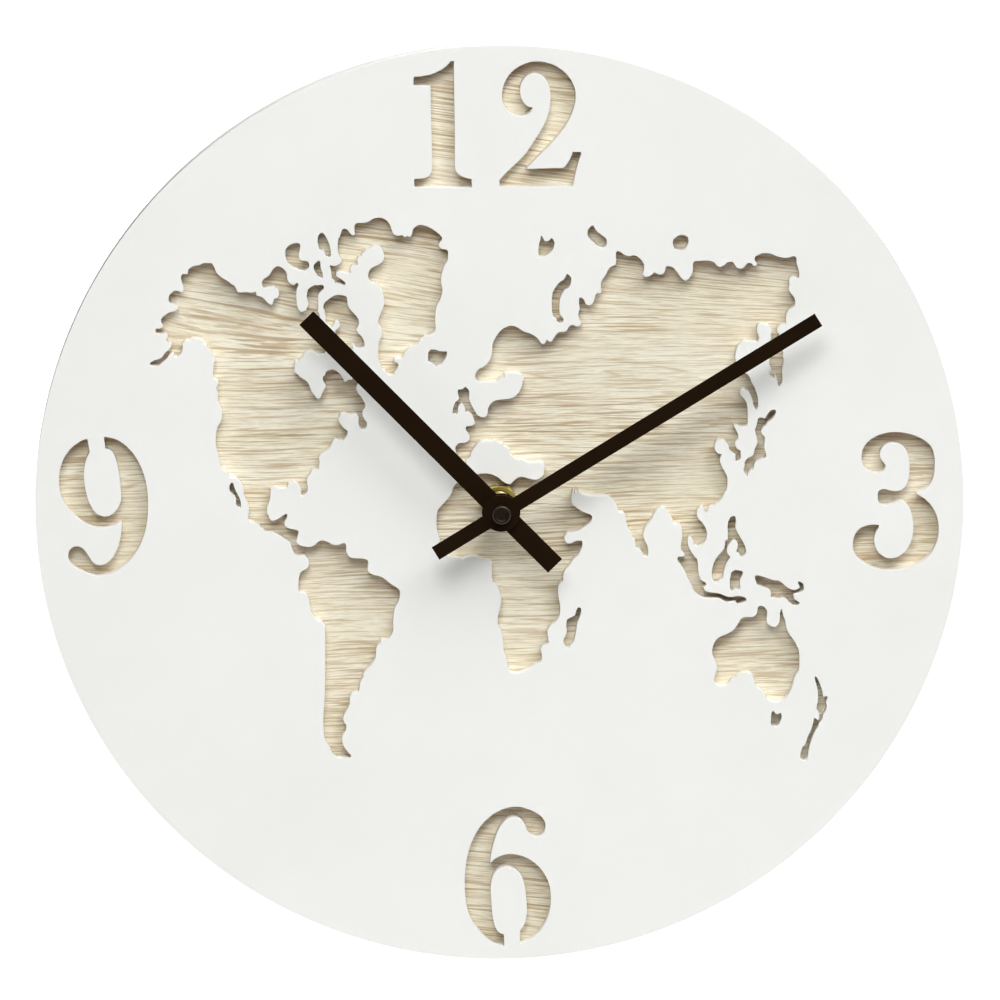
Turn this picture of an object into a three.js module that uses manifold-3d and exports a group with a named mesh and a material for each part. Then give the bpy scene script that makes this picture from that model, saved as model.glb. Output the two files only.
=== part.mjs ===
// World map wall clock: a white disc with a cut-through world map and four
// cut-through numerals, glued on a pale oak disc, with a quartz movement behind
// it and two dark baton hands in front.
//
// Frame: millimetres, +Z up, the dial faces -Y, +X to the right seen from the
// front. The origin is on the hand axis in the wall plane (rear face of the
// movement). A clockwise turn seen from the front is a positive turn about +Y.

import * as THREE from 'three';
import { mergeVertices } from 'three/addons/utils/BufferGeometryUtils.js';
import Module from 'manifold-3d';

const wasm = await Module();
wasm.setup();

// ---------------------------------------------------------------- dimensions
// dial
const DISC_R = 150;              // radius of the white front disc
const BACK_DISC_R = 149.7;       // radius of the oak disc behind it
const DISC_SIDES = 120;
const FRONT_T = 5;               // thickness of the white front disc
const BACK_T = 3;                // thickness of the oak disc
const GLUE_GAP = 0.05;
const CASE_FRONT = -16;          // front face of the movement case
const GASKET_T = 0.9;
const BACK_DISC_REAR = -17;
const BACK_DISC_FRONT = BACK_DISC_REAR - BACK_T;              // -20
const FRONT_DISC_REAR = BACK_DISC_FRONT - GLUE_GAP;            // -20.05
const FRONT_DISC_FRONT = FRONT_DISC_REAR - FRONT_T;            // -25.05
const BUSH_HOLE_R = 4.2;

// movement case
const CASE_HALF_W = 28;
const CASE_TOP = 20;
const CASE_BOTTOM = -36;
const CASE_CORNER_R = 3;
const CASE_WALL = 1.5;
const CASE_FRONT_WALL = 1.2;
const CASE_REAR = -1.8;          // rear edge of the gear-room walls
const BAY_REAR = -0.4;           // rear edge of the battery-bay walls
const DIVIDER_TOP = -17;
const DIVIDER_BOTTOM = -18.5;
const COVER_T = 1.5;
const PIVOT_DEPTH = 0.7;

// hanger loop, moulded on the top of the case
const HANGER_REAR = CASE_REAR;
const HANGER_T = 2.8;
const HANGER_TOP = 30;
const HANGER_HALF_BASE = 14;
const HANGER_HALF_TOP = 11.5;
const SLOT_HALF_W = 9;
const SLOT_BOTTOM = 21.2;
const SLOT_TOP = 27;             // notch height, where the nail sits
const SLOT_TOOTH = 0.9;

// hands and centre
const HOUR_ANGLE = -43.7;        // degrees clockwise from twelve
const HOUR_LENGTH = 89.4;
const HOUR_TAIL = 24.8;
const HOUR_HALF_W = 3.15;
const HOUR_HUB_R = 6.2;
const HOUR_REAR = -38.6;
const MINUTE_ANGLE = 59.2;
const MINUTE_LENGTH = 119.8;
const MINUTE_TAIL = 24.9;
const MINUTE_HALF_W = 2.35;
const MINUTE_HUB_R = 6.0;
const MINUTE_REAR = -40.8;
const HAND_T = 0.8;
const CAP_R = 3;
const CAP_FRONT = -45;

// bush, nut and washer
const BUSH_R = 3.9;
const BUSH_BORE = 2.9;
const BUSH_FRONT = -28;
const NUT_APOTHEM = 5.5;
const NUT_T = 2.5;
const WASHER_R = 5.6;
const WASHER_T = 0.5;

// gear train: [teeth, module]
const ROTOR_PINION = [8, 0.30];
const INTERMEDIATE_WHEEL = [60, 0.30];
const INTERMEDIATE_PINION = [12, 0.36];
const SECOND_WHEEL = [48, 0.36];
const SECOND_PINION = [8, 0.36];
const THIRD_WHEEL = [60, 0.36];
const THIRD_PINION = [8, 0.34];
const CENTRE_GEAR = [64, 0.34];
const CANNON_PINION = [12, 0.50];
const MOTION_WHEEL = [36, 0.50];
const KNOB_PINION = [12, 0.50];
const MOTION_PINION = [10, 0.48];
const HOUR_WHEEL = [40, 0.48];

// arbor places in the XZ plane, each set off from its partner by the mesh distance
const rad = (d) => (d * Math.PI) / 180;
const meshDistance = (a, b) => (a[1] * a[0] + b[1] * b[0]) / 2;
const offset = (p, d, a) => [p[0] + d * Math.cos(rad(a)), p[1] + d * Math.sin(rad(a))];
const THIRD_DIRECTION = 150;
const MOTION_DIRECTION = -20;
const KNOB_DIRECTION = 60;
const INTERMEDIATE_DIRECTION = 215;
const ROTOR_DIRECTION = -20;
const C = [0, 0];
const T = offset(C, meshDistance(SECOND_PINION, THIRD_WHEEL), THIRD_DIRECTION);
const M = offset(C, meshDistance(CANNON_PINION, MOTION_WHEEL), MOTION_DIRECTION);
const K = offset(M, meshDistance(KNOB_PINION, MOTION_WHEEL), KNOB_DIRECTION);
const I = offset(C, meshDistance(INTERMEDIATE_PINION, SECOND_WHEEL), INTERMEDIATE_DIRECTION);
const R = offset(I, meshDistance(ROTOR_PINION, INTERMEDIATE_WHEEL), ROTOR_DIRECTION);

// layers of the train, front face then rear face
const HOUR_LAYER = [-13.5, -12.5];
const MOTION_LAYER = [-12.1, -11.1];
const CENTRE_LAYER = [-10.8, -10.0];
const BRIDGE_LAYER = [-9.6, -8.8];
const THIRD_LAYER = [-8.4, -7.6];
const SECOND_LAYER = [-7.2, -6.4];
const INTERMEDIATE_LAYER = [-6.0, -5.2];
const MAGNET_LAYER = [-4.8, -2.4];
const STATOR_LAYER = [-4.0, -3.4];

// battery (AA cell lying along X)
const CELL_R = 7.0;
const CELL_HALF_L = 24.2;
const CELL_NUB_R = 2.75;
const CELL_NUB_END = 25.3;
const CELL_Y = -7.5;
const CELL_Z = -26.5;

// ---------------------------------------------------------------- cut-outs
// Outlines of the openings in the white disc, seen from the front, as x, z pairs.
const CUT_OUTS = {
  numeral_1: [
    -13.8, 145.16, -14.75, 144.06, -16.09, 142.94, -17.4, 142.14, -19.17, 141.36, -20.73, 140.88, -22.24, 140.57, -23.82, 140.39,
    -25.76, 140.29, -25.9, 137.95, -25.87, 137.28, -20.62, 137.11, -20.41, 137.02, -20.42, 131.5, -20.28, 110.64, -20.38, 109.77,
    -20.68, 108.84, -21.18, 108.06, -21.66, 107.66, -22.27, 107.37, -23.16, 107.17, -23.93, 107.1, -26.09, 106.96, -26.1, 106.08,
    -26.02, 104.15, -11.43, 103.8, -7.59, 103.78, -7.56, 106.61, -9.02, 106.92, -9.8, 107.16, -10.7, 107.52, -11.33, 107.89,
    -11.86, 108.31, -12.47, 109.07, -12.72, 109.6, -12.91, 110.45, -12.81, 119.36, -12.85, 137.77, -12.79, 145.15,
  ],
  numeral_2: [
    23.65, 103.51, 24.98, 103.55, 25.48, 106.14, 26.14, 108.89, 26.95, 111.7, 27.76, 114.15, 27.7, 114.75, 25.06, 114.87,
    24.5, 113.31, 23.76, 111.83, 23.39, 111.27, 22.72, 110.43, 21.9, 109.69, 10.66, 109.61, 10.2, 109.66, 11.86, 111.4,
    18.09, 117.49, 19.64, 119.16, 21.42, 121.27, 22.8, 123.21, 23.98, 125.22, 25.04, 127.57, 25.81, 129.98, 26.03, 130.98,
    26.19, 132.14, 26.21, 134.14, 26.08, 135.11, 25.82, 136.1, 25.44, 137.1, 25.08, 137.85, 24.3, 139.09, 23.77, 139.79,
    22.95, 140.69, 22.35, 141.25, 21.64, 141.84, 20.61, 142.56, 19.51, 143.19, 18.68, 143.57, 17.5, 144.01, 16.57, 144.27,
    15.29, 144.5, 14.33, 144.58, 13.22, 144.56, 12.07, 144.43, 10.89, 144.18, 10.02, 143.9, 8.91, 143.44, 8.01, 142.96,
    7.04, 142.33, 6.11, 141.56, 5.22, 140.67, 4.58, 139.88, 3.87, 138.78, 3.37, 137.78, 2.95, 136.69, 2.76, 135.99,
    2.53, 134.4, 2.51, 133.23, 2.56, 132.5, 2.75, 131.44, 2.94, 130.83, 3.25, 130.11, 3.54, 129.6, 3.95, 129,
    4.48, 128.43, 5.26, 127.77, 5.7, 127.48, 6.35, 127.14, 7.07, 126.86, 7.92, 126.68, 8.79, 126.64, 9.64, 126.78,
    10.33, 127.02, 11.03, 127.44, 11.6, 127.96, 11.96, 128.41, 12.31, 129.05, 12.32, 129.59, 11.32, 129.74, 10.79, 129.96,
    10.3, 130.29, 9.95, 130.62, 9.52, 131.15, 9.14, 131.78, 8.73, 132.72, 8.5, 133.56, 8.36, 134.38, 8.33, 135.26,
    8.45, 136.08, 8.55, 136.56, 8.94, 137.61, 9.34, 138.33, 9.93, 139.1, 10.65, 139.74, 11.19, 140.07, 11.8, 140.34,
    12.41, 140.48, 13.33, 140.53, 14.04, 140.43, 14.74, 140.22, 15.17, 140, 15.73, 139.62, 16.39, 138.98, 16.81, 138.44,
    17.17, 137.86, 17.55, 137.07, 17.79, 136.37, 18.01, 135.37, 18.11, 134.6, 18.18, 133.43, 18.15, 132.55, 18, 131,
    17.74, 129.31, 17.21, 127.13, 16.69, 125.61, 16.33, 124.76, 15.49, 123.12, 14.87, 122.07, 11.71, 117.12, 10.73, 115.73,
    9.67, 114.4, 8.62, 113.26, 7.32, 111.96, 3.68, 108.62, 1.33, 106.2, 1.33, 105.71, 1.49, 103.77,
  ],
  numeral_3: [
    122.43, -23.84, 124, -24.14, 125.79, -24.3, 127.39, -24.29, 129.51, -24.08, 131.41, -23.72, 133.27, -23.16, 134.17, -22.81,
    135.61, -22.1, 136.63, -21.46, 137.48, -20.8, 138.53, -19.79, 139.36, -18.77, 140.14, -17.53, 140.79, -16.21, 141.36, -14.54,
    141.58, -13.58, 141.76, -12.37, 141.81, -11.83, 141.8, -9.66, 141.71, -8.72, 141.53, -7.7, 141.32, -6.89, 140.88, -5.64,
    140.4, -4.61, 139.75, -3.51, 139.21, -2.74, 138.43, -1.85, 137.66, -1.11, 136.72, -0.39, 135.89, 0.12, 134.88, 0.79,
    136.86, 1.9, 138.36, 3.05, 139.36, 4.18, 139.67, 4.67, 140.01, 5.38, 140.42, 6.79, 140.64, 8.3, 140.73, 9.72,
    140.75, 11.4, 140.7, 12.38, 140.42, 14.13, 140.06, 15.26, 139.6, 16.18, 139.01, 16.97, 138.01, 17.91, 136.82, 18.76,
    135.36, 19.56, 134.06, 20.11, 132.77, 20.52, 131.54, 20.82, 130.29, 21.03, 128.7, 21.19, 127.44, 21.21, 126.28, 21.15,
    124.85, 20.94, 124.04, 20.76, 122.84, 20.38, 121.95, 20.01, 120.88, 19.44, 120.08, 18.9, 119.29, 18.25, 118.78, 17.74,
    118.17, 16.97, 117.66, 16.08, 117.33, 15.21, 117.13, 14.1, 117.12, 12.77, 117.3, 11.61, 117.69, 10.49, 118.27, 9.52,
    118.95, 8.81, 119.8, 8.25, 120.81, 7.88, 121.38, 7.78, 121.96, 7.76, 122.68, 7.85, 123.33, 8.06, 123.87, 8.38,
    124.2, 8.66, 124.42, 8.92, 124.73, 9.48, 124.85, 9.85, 124.84, 10.39, 123.67, 11.97, 123.39, 12.43, 123.08, 13.15,
    122.97, 13.93, 123.06, 14.46, 123.26, 15.07, 123.76, 15.96, 124.27, 16.55, 124.6, 16.83, 125.49, 17.31, 126.19, 17.51,
    126.62, 17.57, 127.5, 17.58, 127.98, 17.52, 129.06, 17.24, 129.68, 16.95, 130.26, 16.59, 131.15, 15.76, 131.76, 14.81,
    132.02, 14.22, 132.25, 13.46, 132.49, 11.96, 132.58, 8.56, 132.5, 7.39, 132.37, 6.41, 132.1, 5.32, 131.68, 4.27,
    131.22, 3.47, 130.78, 2.95, 130.22, 2.47, 129.64, 2.14, 129.04, 1.93, 128.23, 1.8, 127.5, 1.81, 126.88, 1.91,
    125.25, 2.4, 124.58, 2.54, 124, 2.57, 123.38, 2.47, 122.9, 2.24, 122.54, 1.92, 122.3, 1.44, 122.21, 0.91,
    122.2, -0.27, 122.3, -0.96, 122.45, -1.48, 122.8, -2.13, 123.12, -2.43, 123.42, -2.6, 124.22, -2.81, 125.13, -2.78,
    126.39, -2.43, 127.7, -1.92, 128.48, -1.67, 128.96, -1.59, 129.5, -1.6, 129.92, -1.69, 130.33, -1.85, 131.24, -2.42,
    131.95, -3.17, 132.43, -3.91, 132.88, -4.95, 133.18, -5.99, 133.31, -6.67, 133.6, -8.92, 133.64, -10.69, 133.46, -12.36,
    133.12, -13.89, 132.53, -15.5, 132.11, -16.33, 131.48, -17.32, 130.51, -18.42, 129.57, -19.18, 128.73, -19.67, 128.06, -19.95,
    127.36, -20.14, 126.59, -20.24, 125.86, -20.23, 124.96, -20.06, 124.01, -19.68, 123.47, -19.34, 122.92, -18.92, 122.11, -18.01,
    121.48, -16.89, 121.08, -15.78, 120.87, -14.46, 120.92, -13.53, 121.15, -12.52, 121.37, -11.87, 121.72, -11.12, 122.53, -9.84,
    122.47, -9.24, 121.37, -9.1, 119.91, -9.1, 118.52, -9.3, 117.28, -9.71, 116.27, -10.29, 115.46, -11.06, 114.95, -11.77,
    114.42, -12.87, 114.17, -13.72, 114.06, -14.35, 113.99, -16.22, 114.2, -17.54, 114.54, -18.46, 114.83, -18.98, 115.23, -19.6,
    115.77, -20.24, 116.25, -20.73, 117.08, -21.42, 118.66, -22.4, 119.75, -22.94, 120.65, -23.31,
  ],
  numeral_6: [
    -0.59, -145.57, -0.57, -141.8, -1.42, -141.63, -2.03, -141.33, -2.61, -140.81, -2.91, -140.41, -3.14, -139.97, -3.63, -138.57,
    -3.99, -136.92, -4.25, -135.15, -4.44, -132.98, -4.72, -127.49, -4.68, -126.25, -4.56, -125.11, -4.26, -123.66, -3.86, -122.49,
    -3.34, -121.54, -3.07, -121.19, -2.56, -120.67, -2.09, -120.31, -1.5, -119.97, -0.73, -119.69, -0.2, -119.58, 0.62, -119.55,
    1.15, -119.61, 1.63, -119.71, 2.58, -120.08, 3.22, -120.45, 3.95, -121.03, 4.44, -121.52, 4.89, -122.1, 5.51, -123.17,
    6.06, -124.71, 6.33, -125.97, 6.51, -127.25, 6.78, -130.17, 6.93, -132.64, 6.91, -134.47, 6.65, -136.54, 6.4, -137.65,
    6.17, -138.35, 5.82, -139.12, 5.46, -139.7, 4.64, -140.6, 4.59, -145.27, 4.91, -145.2, 6.57, -144.49, 7.68, -143.89,
    8.42, -143.41, 9.32, -142.74, 10.02, -142.13, 10.7, -141.43, 11.51, -140.44, 12.57, -138.78, 12.96, -138.04, 13.57, -136.64,
    14.2, -134.66, 14.64, -132.43, 14.76, -131.09, 14.78, -129.36, 14.69, -127.92, 14.41, -126.21, 13.83, -124.31, 13.13, -122.78,
    12.11, -121.14, 11.46, -120.28, 10.66, -119.4, 10.18, -118.91, 9.01, -117.93, 8, -117.24, 7.06, -116.71, 6.22, -116.31,
    5.26, -115.95, 4.23, -115.66, 3.28, -115.48, 2.31, -115.37, 1.53, -115.35, 0.57, -115.42, -0.48, -115.62, -1.86, -116.1,
    -2.96, -116.72, -3.85, -117.41, -4.67, -118.2, -4.7, -117.81, -4.6, -116.53, -4.22, -114.38, -3.18, -110.57, -2.46, -108.47,
    -1.75, -106.95, -1.36, -106.27, -0.73, -105.39, 0.07, -104.53, 1.09, -103.79, 1.57, -103.56, 2.13, -103.39, 2.9, -103.27,
    3.58, -103.28, 4.11, -103.37, 4.57, -103.51, 5.17, -103.85, 5.77, -104.43, 6.36, -105.28, 6.77, -106.12, 7.52, -107.96,
    7.94, -108.68, 8.63, -109.38, 9.31, -109.77, 9.82, -109.93, 10.25, -109.98, 10.69, -109.94, 11.25, -109.78, 11.85, -109.46,
    12.19, -109.19, 12.72, -108.6, 12.92, -108.27, 13.18, -107.63, 13.29, -106.99, 13.31, -105.95, 13.25, -105.41, 13.08, -104.79,
    12.78, -104.17, 12.4, -103.59, 11.91, -103.04, 11.17, -102.4, 10.48, -101.94, 9.71, -101.5, 8.69, -101.03, 6.5, -100.19,
    5.56, -99.96, 4.65, -99.81, 3.15, -99.76, 1.61, -99.94, -0.08, -100.38, -1.49, -100.93, -2.86, -101.66, -4.51, -102.78,
    -5.78, -103.85, -7.1, -105.23, -8.07, -106.46, -9.15, -108.1, -9.97, -109.62, -10.82, -111.56, -11.45, -113.38, -11.98, -115.28,
    -12.44, -117.46, -12.79, -119.81, -13.01, -122.07, -13.1, -123.96, -13.1, -126.73, -12.93, -129.3, -12.67, -131.42, -12.29, -133.52,
    -11.71, -135.52, -11.2, -136.81, -10.73, -137.74, -10.24, -138.54, -8.9, -140.38, -7.27, -142.29, -6.22, -143.33, -5.05, -144.23,
    -3.67, -144.97, -2.38, -145.4, -0.84, -145.64,
  ],
  numeral_9: [
    -129.06, -21.14, -128.24, -21.05, -127.44, -20.89, -125.78, -20.34, -124.12, -19.55, -122.58, -18.62, -120.82, -17.24, -119.36, -15.81,
    -118.33, -14.56, -117.14, -12.77, -116.26, -11.13, -115.53, -9.41, -115.01, -7.93, -114.61, -6.51, -114.2, -4.64, -113.89, -2.74,
    -113.65, -0.3, -113.55, 3.29, -113.57, 4.37, -113.73, 6.68, -114.04, 8.92, -114.44, 10.79, -114.95, 12.59, -115.77, 14.74,
    -116.76, 16.77, -117.75, 18.4, -118.87, 19.88, -119.98, 21.11, -121.34, 22.29, -122.42, 23.03, -123.8, 23.75, -125.45, 24.29,
    -127.13, 24.53, -127.4, 24.5, -127.42, 23.96, -126.96, 20.38, -126.2, 20.24, -125.8, 20.07, -125.26, 19.74, -124.8, 19.31,
    -124.42, 18.8, -124.1, 18.19, -123.57, 16.66, -123.17, 14.94, -122.92, 13.24, -122.28, 6.93, -122.19, 4.92, -122.29, 3.99,
    -122.5, 2.98, -122.78, 2.19, -123.42, 0.98, -124.14, 0.05, -124.73, -0.52, -125.28, -0.92, -125.84, -1.22, -126.47, -1.45,
    -126.95, -1.55, -127.77, -1.58, -128.3, -1.5, -128.86, -1.35, -129.52, -1.05, -130.12, -0.64, -130.51, -0.27, -131.25, 0.63,
    -131.77, 1.47, -132.23, 2.34, -132.85, 3.88, -133.31, 5.44, -133.75, 7.7, -134, 9.61, -134.13, 11.71, -134.11, 12.7,
    -134.01, 13.87, -133.64, 15.9, -133.08, 17.63, -132.16, 19.52, -132.19, 20.3, -132.82, 24.02, -133.48, 23.87, -134.56, 23.46,
    -135.39, 23.05, -136.29, 22.49, -137.07, 21.91, -137.98, 21.1, -138.52, 20.55, -139.38, 19.48, -140.4, 17.87, -141.13, 16.27,
    -141.43, 15.38, -141.72, 14.24, -141.97, 12.89, -142.1, 11.72, -142.15, 9.56, -141.99, 7.45, -141.64, 5.72, -141.05, 4.05,
    -140.56, 3.04, -140.1, 2.23, -139.19, 0.89, -138.42, -0.05, -137.45, -1.08, -135.87, -2.46, -134.52, -3.42, -133.52, -4.01,
    -132.65, -4.44, -131.33, -4.94, -130.68, -5.12, -129.06, -5.39, -128.48, -5.42, -127.46, -5.37, -126.7, -5.27, -125.76, -5.05,
    -124.08, -4.41, -123.05, -3.87, -122.16, -3.41, -122.25, -5.47, -122.54, -7.86, -122.92, -9.69, -123.53, -11.66, -124.03, -12.84,
    -124.43, -13.62, -125.4, -15.15, -126.28, -16.13, -126.96, -16.68, -127.55, -17.02, -128.32, -17.32, -128.84, -17.44, -129.32, -17.48,
    -129.85, -17.47, -130.28, -17.38, -130.69, -17.23, -131.15, -16.96, -131.67, -16.52, -132.25, -15.79, -133.63, -13.47, -134.3, -12.57,
    -134.67, -12.18, -135.23, -11.72, -135.97, -11.34, -136.48, -11.21, -136.96, -11.17, -137.54, -11.25, -137.91, -11.36, -138.38, -11.61,
    -138.86, -12.02, -139.15, -12.41, -139.38, -12.85, -139.52, -13.27, -139.59, -13.75, -139.6, -14.74, -139.44, -15.51, -139.17, -16.09,
    -138.75, -16.75, -137.71, -17.85, -136.94, -18.44, -136.37, -18.81, -134.47, -19.78, -131.97, -20.72, -130.99, -20.97, -130.27, -21.09,
  ],
  americas: [
    -49.29, -82.24, -49.3, -81.61, -50.15, -80.85, -51.7, -78.45, -52.04, -77.19, -52.08, -76.27, -51.81, -74.83, -51.11, -74.13,
    -50.73, -72.69, -50.8, -71.65, -51.47, -70.64, -51.52, -69.01, -49.44, -64.76, -49.42, -63.26, -48.94, -61.72, -48.44, -61.36,
    -46.58, -60.83, -46.29, -60.18, -45.8, -57.48, -44.93, -56.22, -44.91, -55.15, -43.87, -53.69, -42.42, -52.18, -40.83, -49.68,
    -40.65, -46.71, -40.01, -45.68, -39.14, -44.9, -38.96, -44.08, -36.71, -43.75, -35.81, -42.87, -35.44, -42.19, -35.04, -40.61,
    -35.06, -37.92, -34.6, -34.43, -34.31, -33.23, -33.29, -31.59, -32.74, -29.8, -32.69, -27.92, -33.36, -27.06, -35.92, -25.29,
    -37.7, -23.68, -39.24, -22.89, -41.66, -22.26, -42.54, -21.62, -43.03, -20.8, -42.79, -18.2, -43.14, -17.42, -44.1, -17.09,
    -48.01, -16.71, -48.88, -16.32, -49.74, -14.88, -49.91, -12.34, -50.25, -11.83, -50.73, -11.79, -52.3, -12.37, -53.58, -12.42,
    -56.31, -11.09, -57.54, -10.75, -58.81, -11.18, -59.9, -12.09, -61.21, -12.76, -62.23, -12.84, -64.3, -12.44, -65.42, -11.83,
    -65.94, -11.02, -65.2, -8.22, -65.3, -7.48, -65.84, -7.15, -68.16, -6.67, -69.26, -5.98, -69.6, -5.44, -69.63, -4.69,
    -68.67, -2.63, -68.78, -1.97, -69.26, -1.88, -72.4, -3.77, -73.46, -3.98, -74.1, -3.71, -74.54, -3.08, -74.72, -2.15,
    -75.13, -1.82, -75.22, -0.98, -75.08, 0.7, -74.67, 1.11, -74.62, 1.93, -74.22, 2.8, -73.89, 6.07, -72.65, 6.79,
    -72.03, 6.86, -70.24, 6.45, -68.6, 6.6, -68, 7.89, -66.3, 8.49, -65.34, 7.97, -64.45, 7.06, -64.09, 5.95,
    -64.14, 4.45, -63.96, 3.92, -63.66, 3.83, -62.91, 4.26, -61.97, 5.88, -62.17, 8.87, -61.98, 9.88, -61.43, 10.39,
    -60.65, 11.82, -60.18, 12.27, -59.66, 12.48, -58.59, 12.4, -58.27, 12.64, -58.02, 15.03, -58.15, 16.26, -57.96, 16.79,
    -57.24, 17.58, -55.82, 18.44, -54.56, 19.52, -54.31, 20.42, -53.91, 20.79, -53.71, 21.57, -53.3, 21.97, -52.6, 22.37,
    -51.74, 22.02, -50.16, 21.91, -49.68, 22.41, -48.76, 24.06, -48.71, 24.56, -48.97, 25.15, -50.13, 26.03, -51.63, 28.52,
    -51.6, 29.15, -50.94, 30.4, -49.4, 30.56, -48.5, 30.13, -47.81, 30.07, -46.5, 30.44, -45.76, 30.31, -45.25, 29.52,
    -45.21, 27.04, -44.55, 25.54, -44.27, 25.33, -43.57, 25.29, -43.09, 25.5, -42.69, 26.22, -42.52, 27.37, -43.64, 29.26,
    -43.91, 30.58, -43.61, 31.84, -43.04, 32.57, -43, 33.41, -44.06, 35.76, -45.5, 37.67, -45.8, 39.07, -45.17, 40.77,
    -45.17, 41.54, -45.54, 42.36, -46.11, 42.5, -46.64, 42.33, -47.29, 41.65, -48.03, 41.76, -49.46, 40.99, -50.48, 42.95,
    -51.88, 44.57, -53.37, 45.18, -55.1, 44.72, -55.42, 44.44, -55.87, 43.25, -56.4, 43.07, -56.53, 42.53, -56.36, 41.18,
    -55.66, 40.21, -55.71, 39.58, -56.88, 37.44, -57.29, 36.28, -57.83, 35.74, -58.31, 35.68, -58.72, 35.94, -59.35, 37.07,
    -60.18, 37.97, -61.06, 40.53, -61.63, 41.39, -62.2, 41.92, -63.28, 42.46, -64.54, 43.74, -65.74, 44.6, -65.4, 47.7,
    -65.06, 47.94, -64.21, 47.99, -63.88, 48.55, -62.94, 49.2, -62.54, 49.92, -61.42, 50.88, -59.9, 51.3, -58.45, 50.35,
    -57.06, 50.17, -55.99, 50.27, -55.46, 50.98, -55.12, 53.75, -56.42, 57.51, -57.04, 60.52, -57.31, 63.31, -57.91, 64.24,
    -57.65, 65.13, -57.58, 69.62, -57.39, 70.02, -55.8, 71.51, -55.71, 72.26, -56.05, 72.78, -56.71, 73, -57.75, 72.78,
    -58.57, 72.98, -60.65, 71.73, -61.17, 70.29, -61.22, 68.6, -60.6, 66.86, -61.17, 66.01, -61.48, 64.79, -63.12, 64.17,
    -63.86, 64.83, -64.45, 66.45, -64.47, 71.6, -63.93, 72.74, -63.97, 73.37, -64.61, 73.88, -65.18, 73.14, -65.65, 73.05,
    -66.99, 74.02, -67.5, 74.99, -67.56, 76.55, -67.92, 77.52, -68.73, 78.52, -69.44, 78.96, -70.4, 79.26, -71.69, 78.74,
    -73.45, 76.23, -74.88, 75.4, -75.59, 74.6, -75.51, 72.85, -75.06, 72.18, -74.58, 72.07, -71.83, 72.6, -71.09, 72.12,
    -70.26, 70.97, -70.22, 69.73, -70.88, 68.95, -71.85, 68.67, -72.52, 66.88, -72.82, 66.63, -73.86, 67.4, -75.62, 69.26,
    -77.41, 69.83, -77.7, 71.29, -78.82, 70.85, -81.11, 71.11, -83.02, 70.95, -83.55, 71.13, -84.18, 72.65, -84.77, 73.42,
    -85.74, 73.85, -86.11, 74.39, -88.24, 75.74, -90.15, 77.44, -91.14, 79.89, -91.83, 80.8, -94.66, 80.72, -95.46, 80.25,
    -97.67, 79.88, -98.46, 79.47, -99.21, 78.74, -99.55, 77.23, -100.96, 77.34, -101.55, 76.95, -101.75, 75.88, -100.93, 72.82,
    -101.07, 71.76, -101.77, 71.3, -103.01, 71.9, -104.08, 71.86, -105.34, 70.77, -105.74, 69.96, -105.82, 68.94, -105.58, 68.01,
    -105.08, 67.63, -103.73, 67.24, -102.91, 66.49, -102.89, 66.06, -103.65, 65.37, -105.8, 64.77, -107.78, 63.48, -108.15, 63.05,
    -108.37, 61.91, -108.26, 61.41, -107.7, 60.63, -107.73, 60.29, -108.86, 59.59, -109.86, 59.76, -110.23, 59.06, -110.15, 58.39,
    -109.27, 57.78, -107.04, 57.78, -106.52, 57.59, -106.3, 57.04, -106.89, 56, -106.91, 55.16, -106.53, 54.81, -106, 55.18,
    -105.75, 55.1, -105.09, 54.43, -105.2, 53.76, -105.99, 52.66, -107.3, 51.62, -108.14, 50.35, -109.6, 49.57, -111.06, 49.18,
    -112.09, 48.48, -112.2, 47.88, -111.8, 47.58, -109.33, 47.45, -106.51, 49.95, -105.93, 50.91, -104.91, 51.56, -104.43, 51.3,
    -104.59, 50.55, -104.46, 50.23, -103.26, 50.12, -101.79, 51.72, -101.47, 54.52, -100.32, 55.42, -99.13, 55.46, -98.45, 55.89,
    -96.11, 55.83, -94.89, 55.28, -94.95, 54.28, -93.72, 53.81, -93.47, 52.84, -92.58, 51.93, -92.07, 50.95, -91.82, 49.95,
    -91.26, 49.39, -91.16, 48.96, -91.43, 48.27, -91.91, 43.1, -91.66, 42.61, -90.71, 42.27, -90.18, 41.85, -90.31, 41.12,
    -90.92, 40.02, -90.41, 37.76, -90.44, 36.78, -90.83, 35.38, -89.74, 33.59, -89.29, 32.11, -89.28, 30.35, -89.92, 28.27,
    -90.62, 27.37, -91.22, 24.93, -91.36, 23.5, -91.31, 20.75, -90.31, 16.42, -90.02, 13.76, -89.23, 12.85, -87.93, 11.96,
    -87.69, 11.13, -86.94, 10.16, -84.99, 10.01, -82.93, 7.6, -82.52, 4.26, -80.97, 0.49, -81.39, -3.17, -81.12, -3.99,
    -77.82, -5.68, -77.01, -6.58, -76.47, -6.73, -76.25, -7.34, -75.61, -7.74, -74.93, -7.91, -73.44, -7.7, -72.15, -8.65,
    -70.68, -9.4, -69.52, -10.41, -68.46, -10.87, -67.86, -11.53, -67.2, -13.76, -66.35, -15.4, -64.98, -15.9, -64.1, -15.66,
    -63.17, -15.86, -62.12, -17.06, -61.94, -18.35, -62.28, -19.46, -62.86, -20.06, -64.01, -20.61, -65.03, -21.92, -65.37, -27.4,
    -65.11, -27.86, -63.67, -28.04, -62.78, -28.76, -62.23, -29.86, -61.46, -34.49, -60.57, -36.2, -59.66, -37.11, -58.13, -37.54,
    -57.7, -38.35, -57.09, -38.86, -57.4, -59.38, -58.14, -71.33, -57.62, -76.23, -56.89, -78.18, -56.24, -78.87, -55.05, -81.35,
    -54.1, -82.34, -53.72, -82.53, -52.79, -82.37, -49.65, -82.51,
  ],
  arctic_isle_a: [
    35.71, 84.88, 35.66, 85.66, 35.34, 86.45, 32.57, 88.74, 31.41, 90.61, 30.73, 90.57, 29.6, 89.45, 29.48, 88.02,
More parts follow.
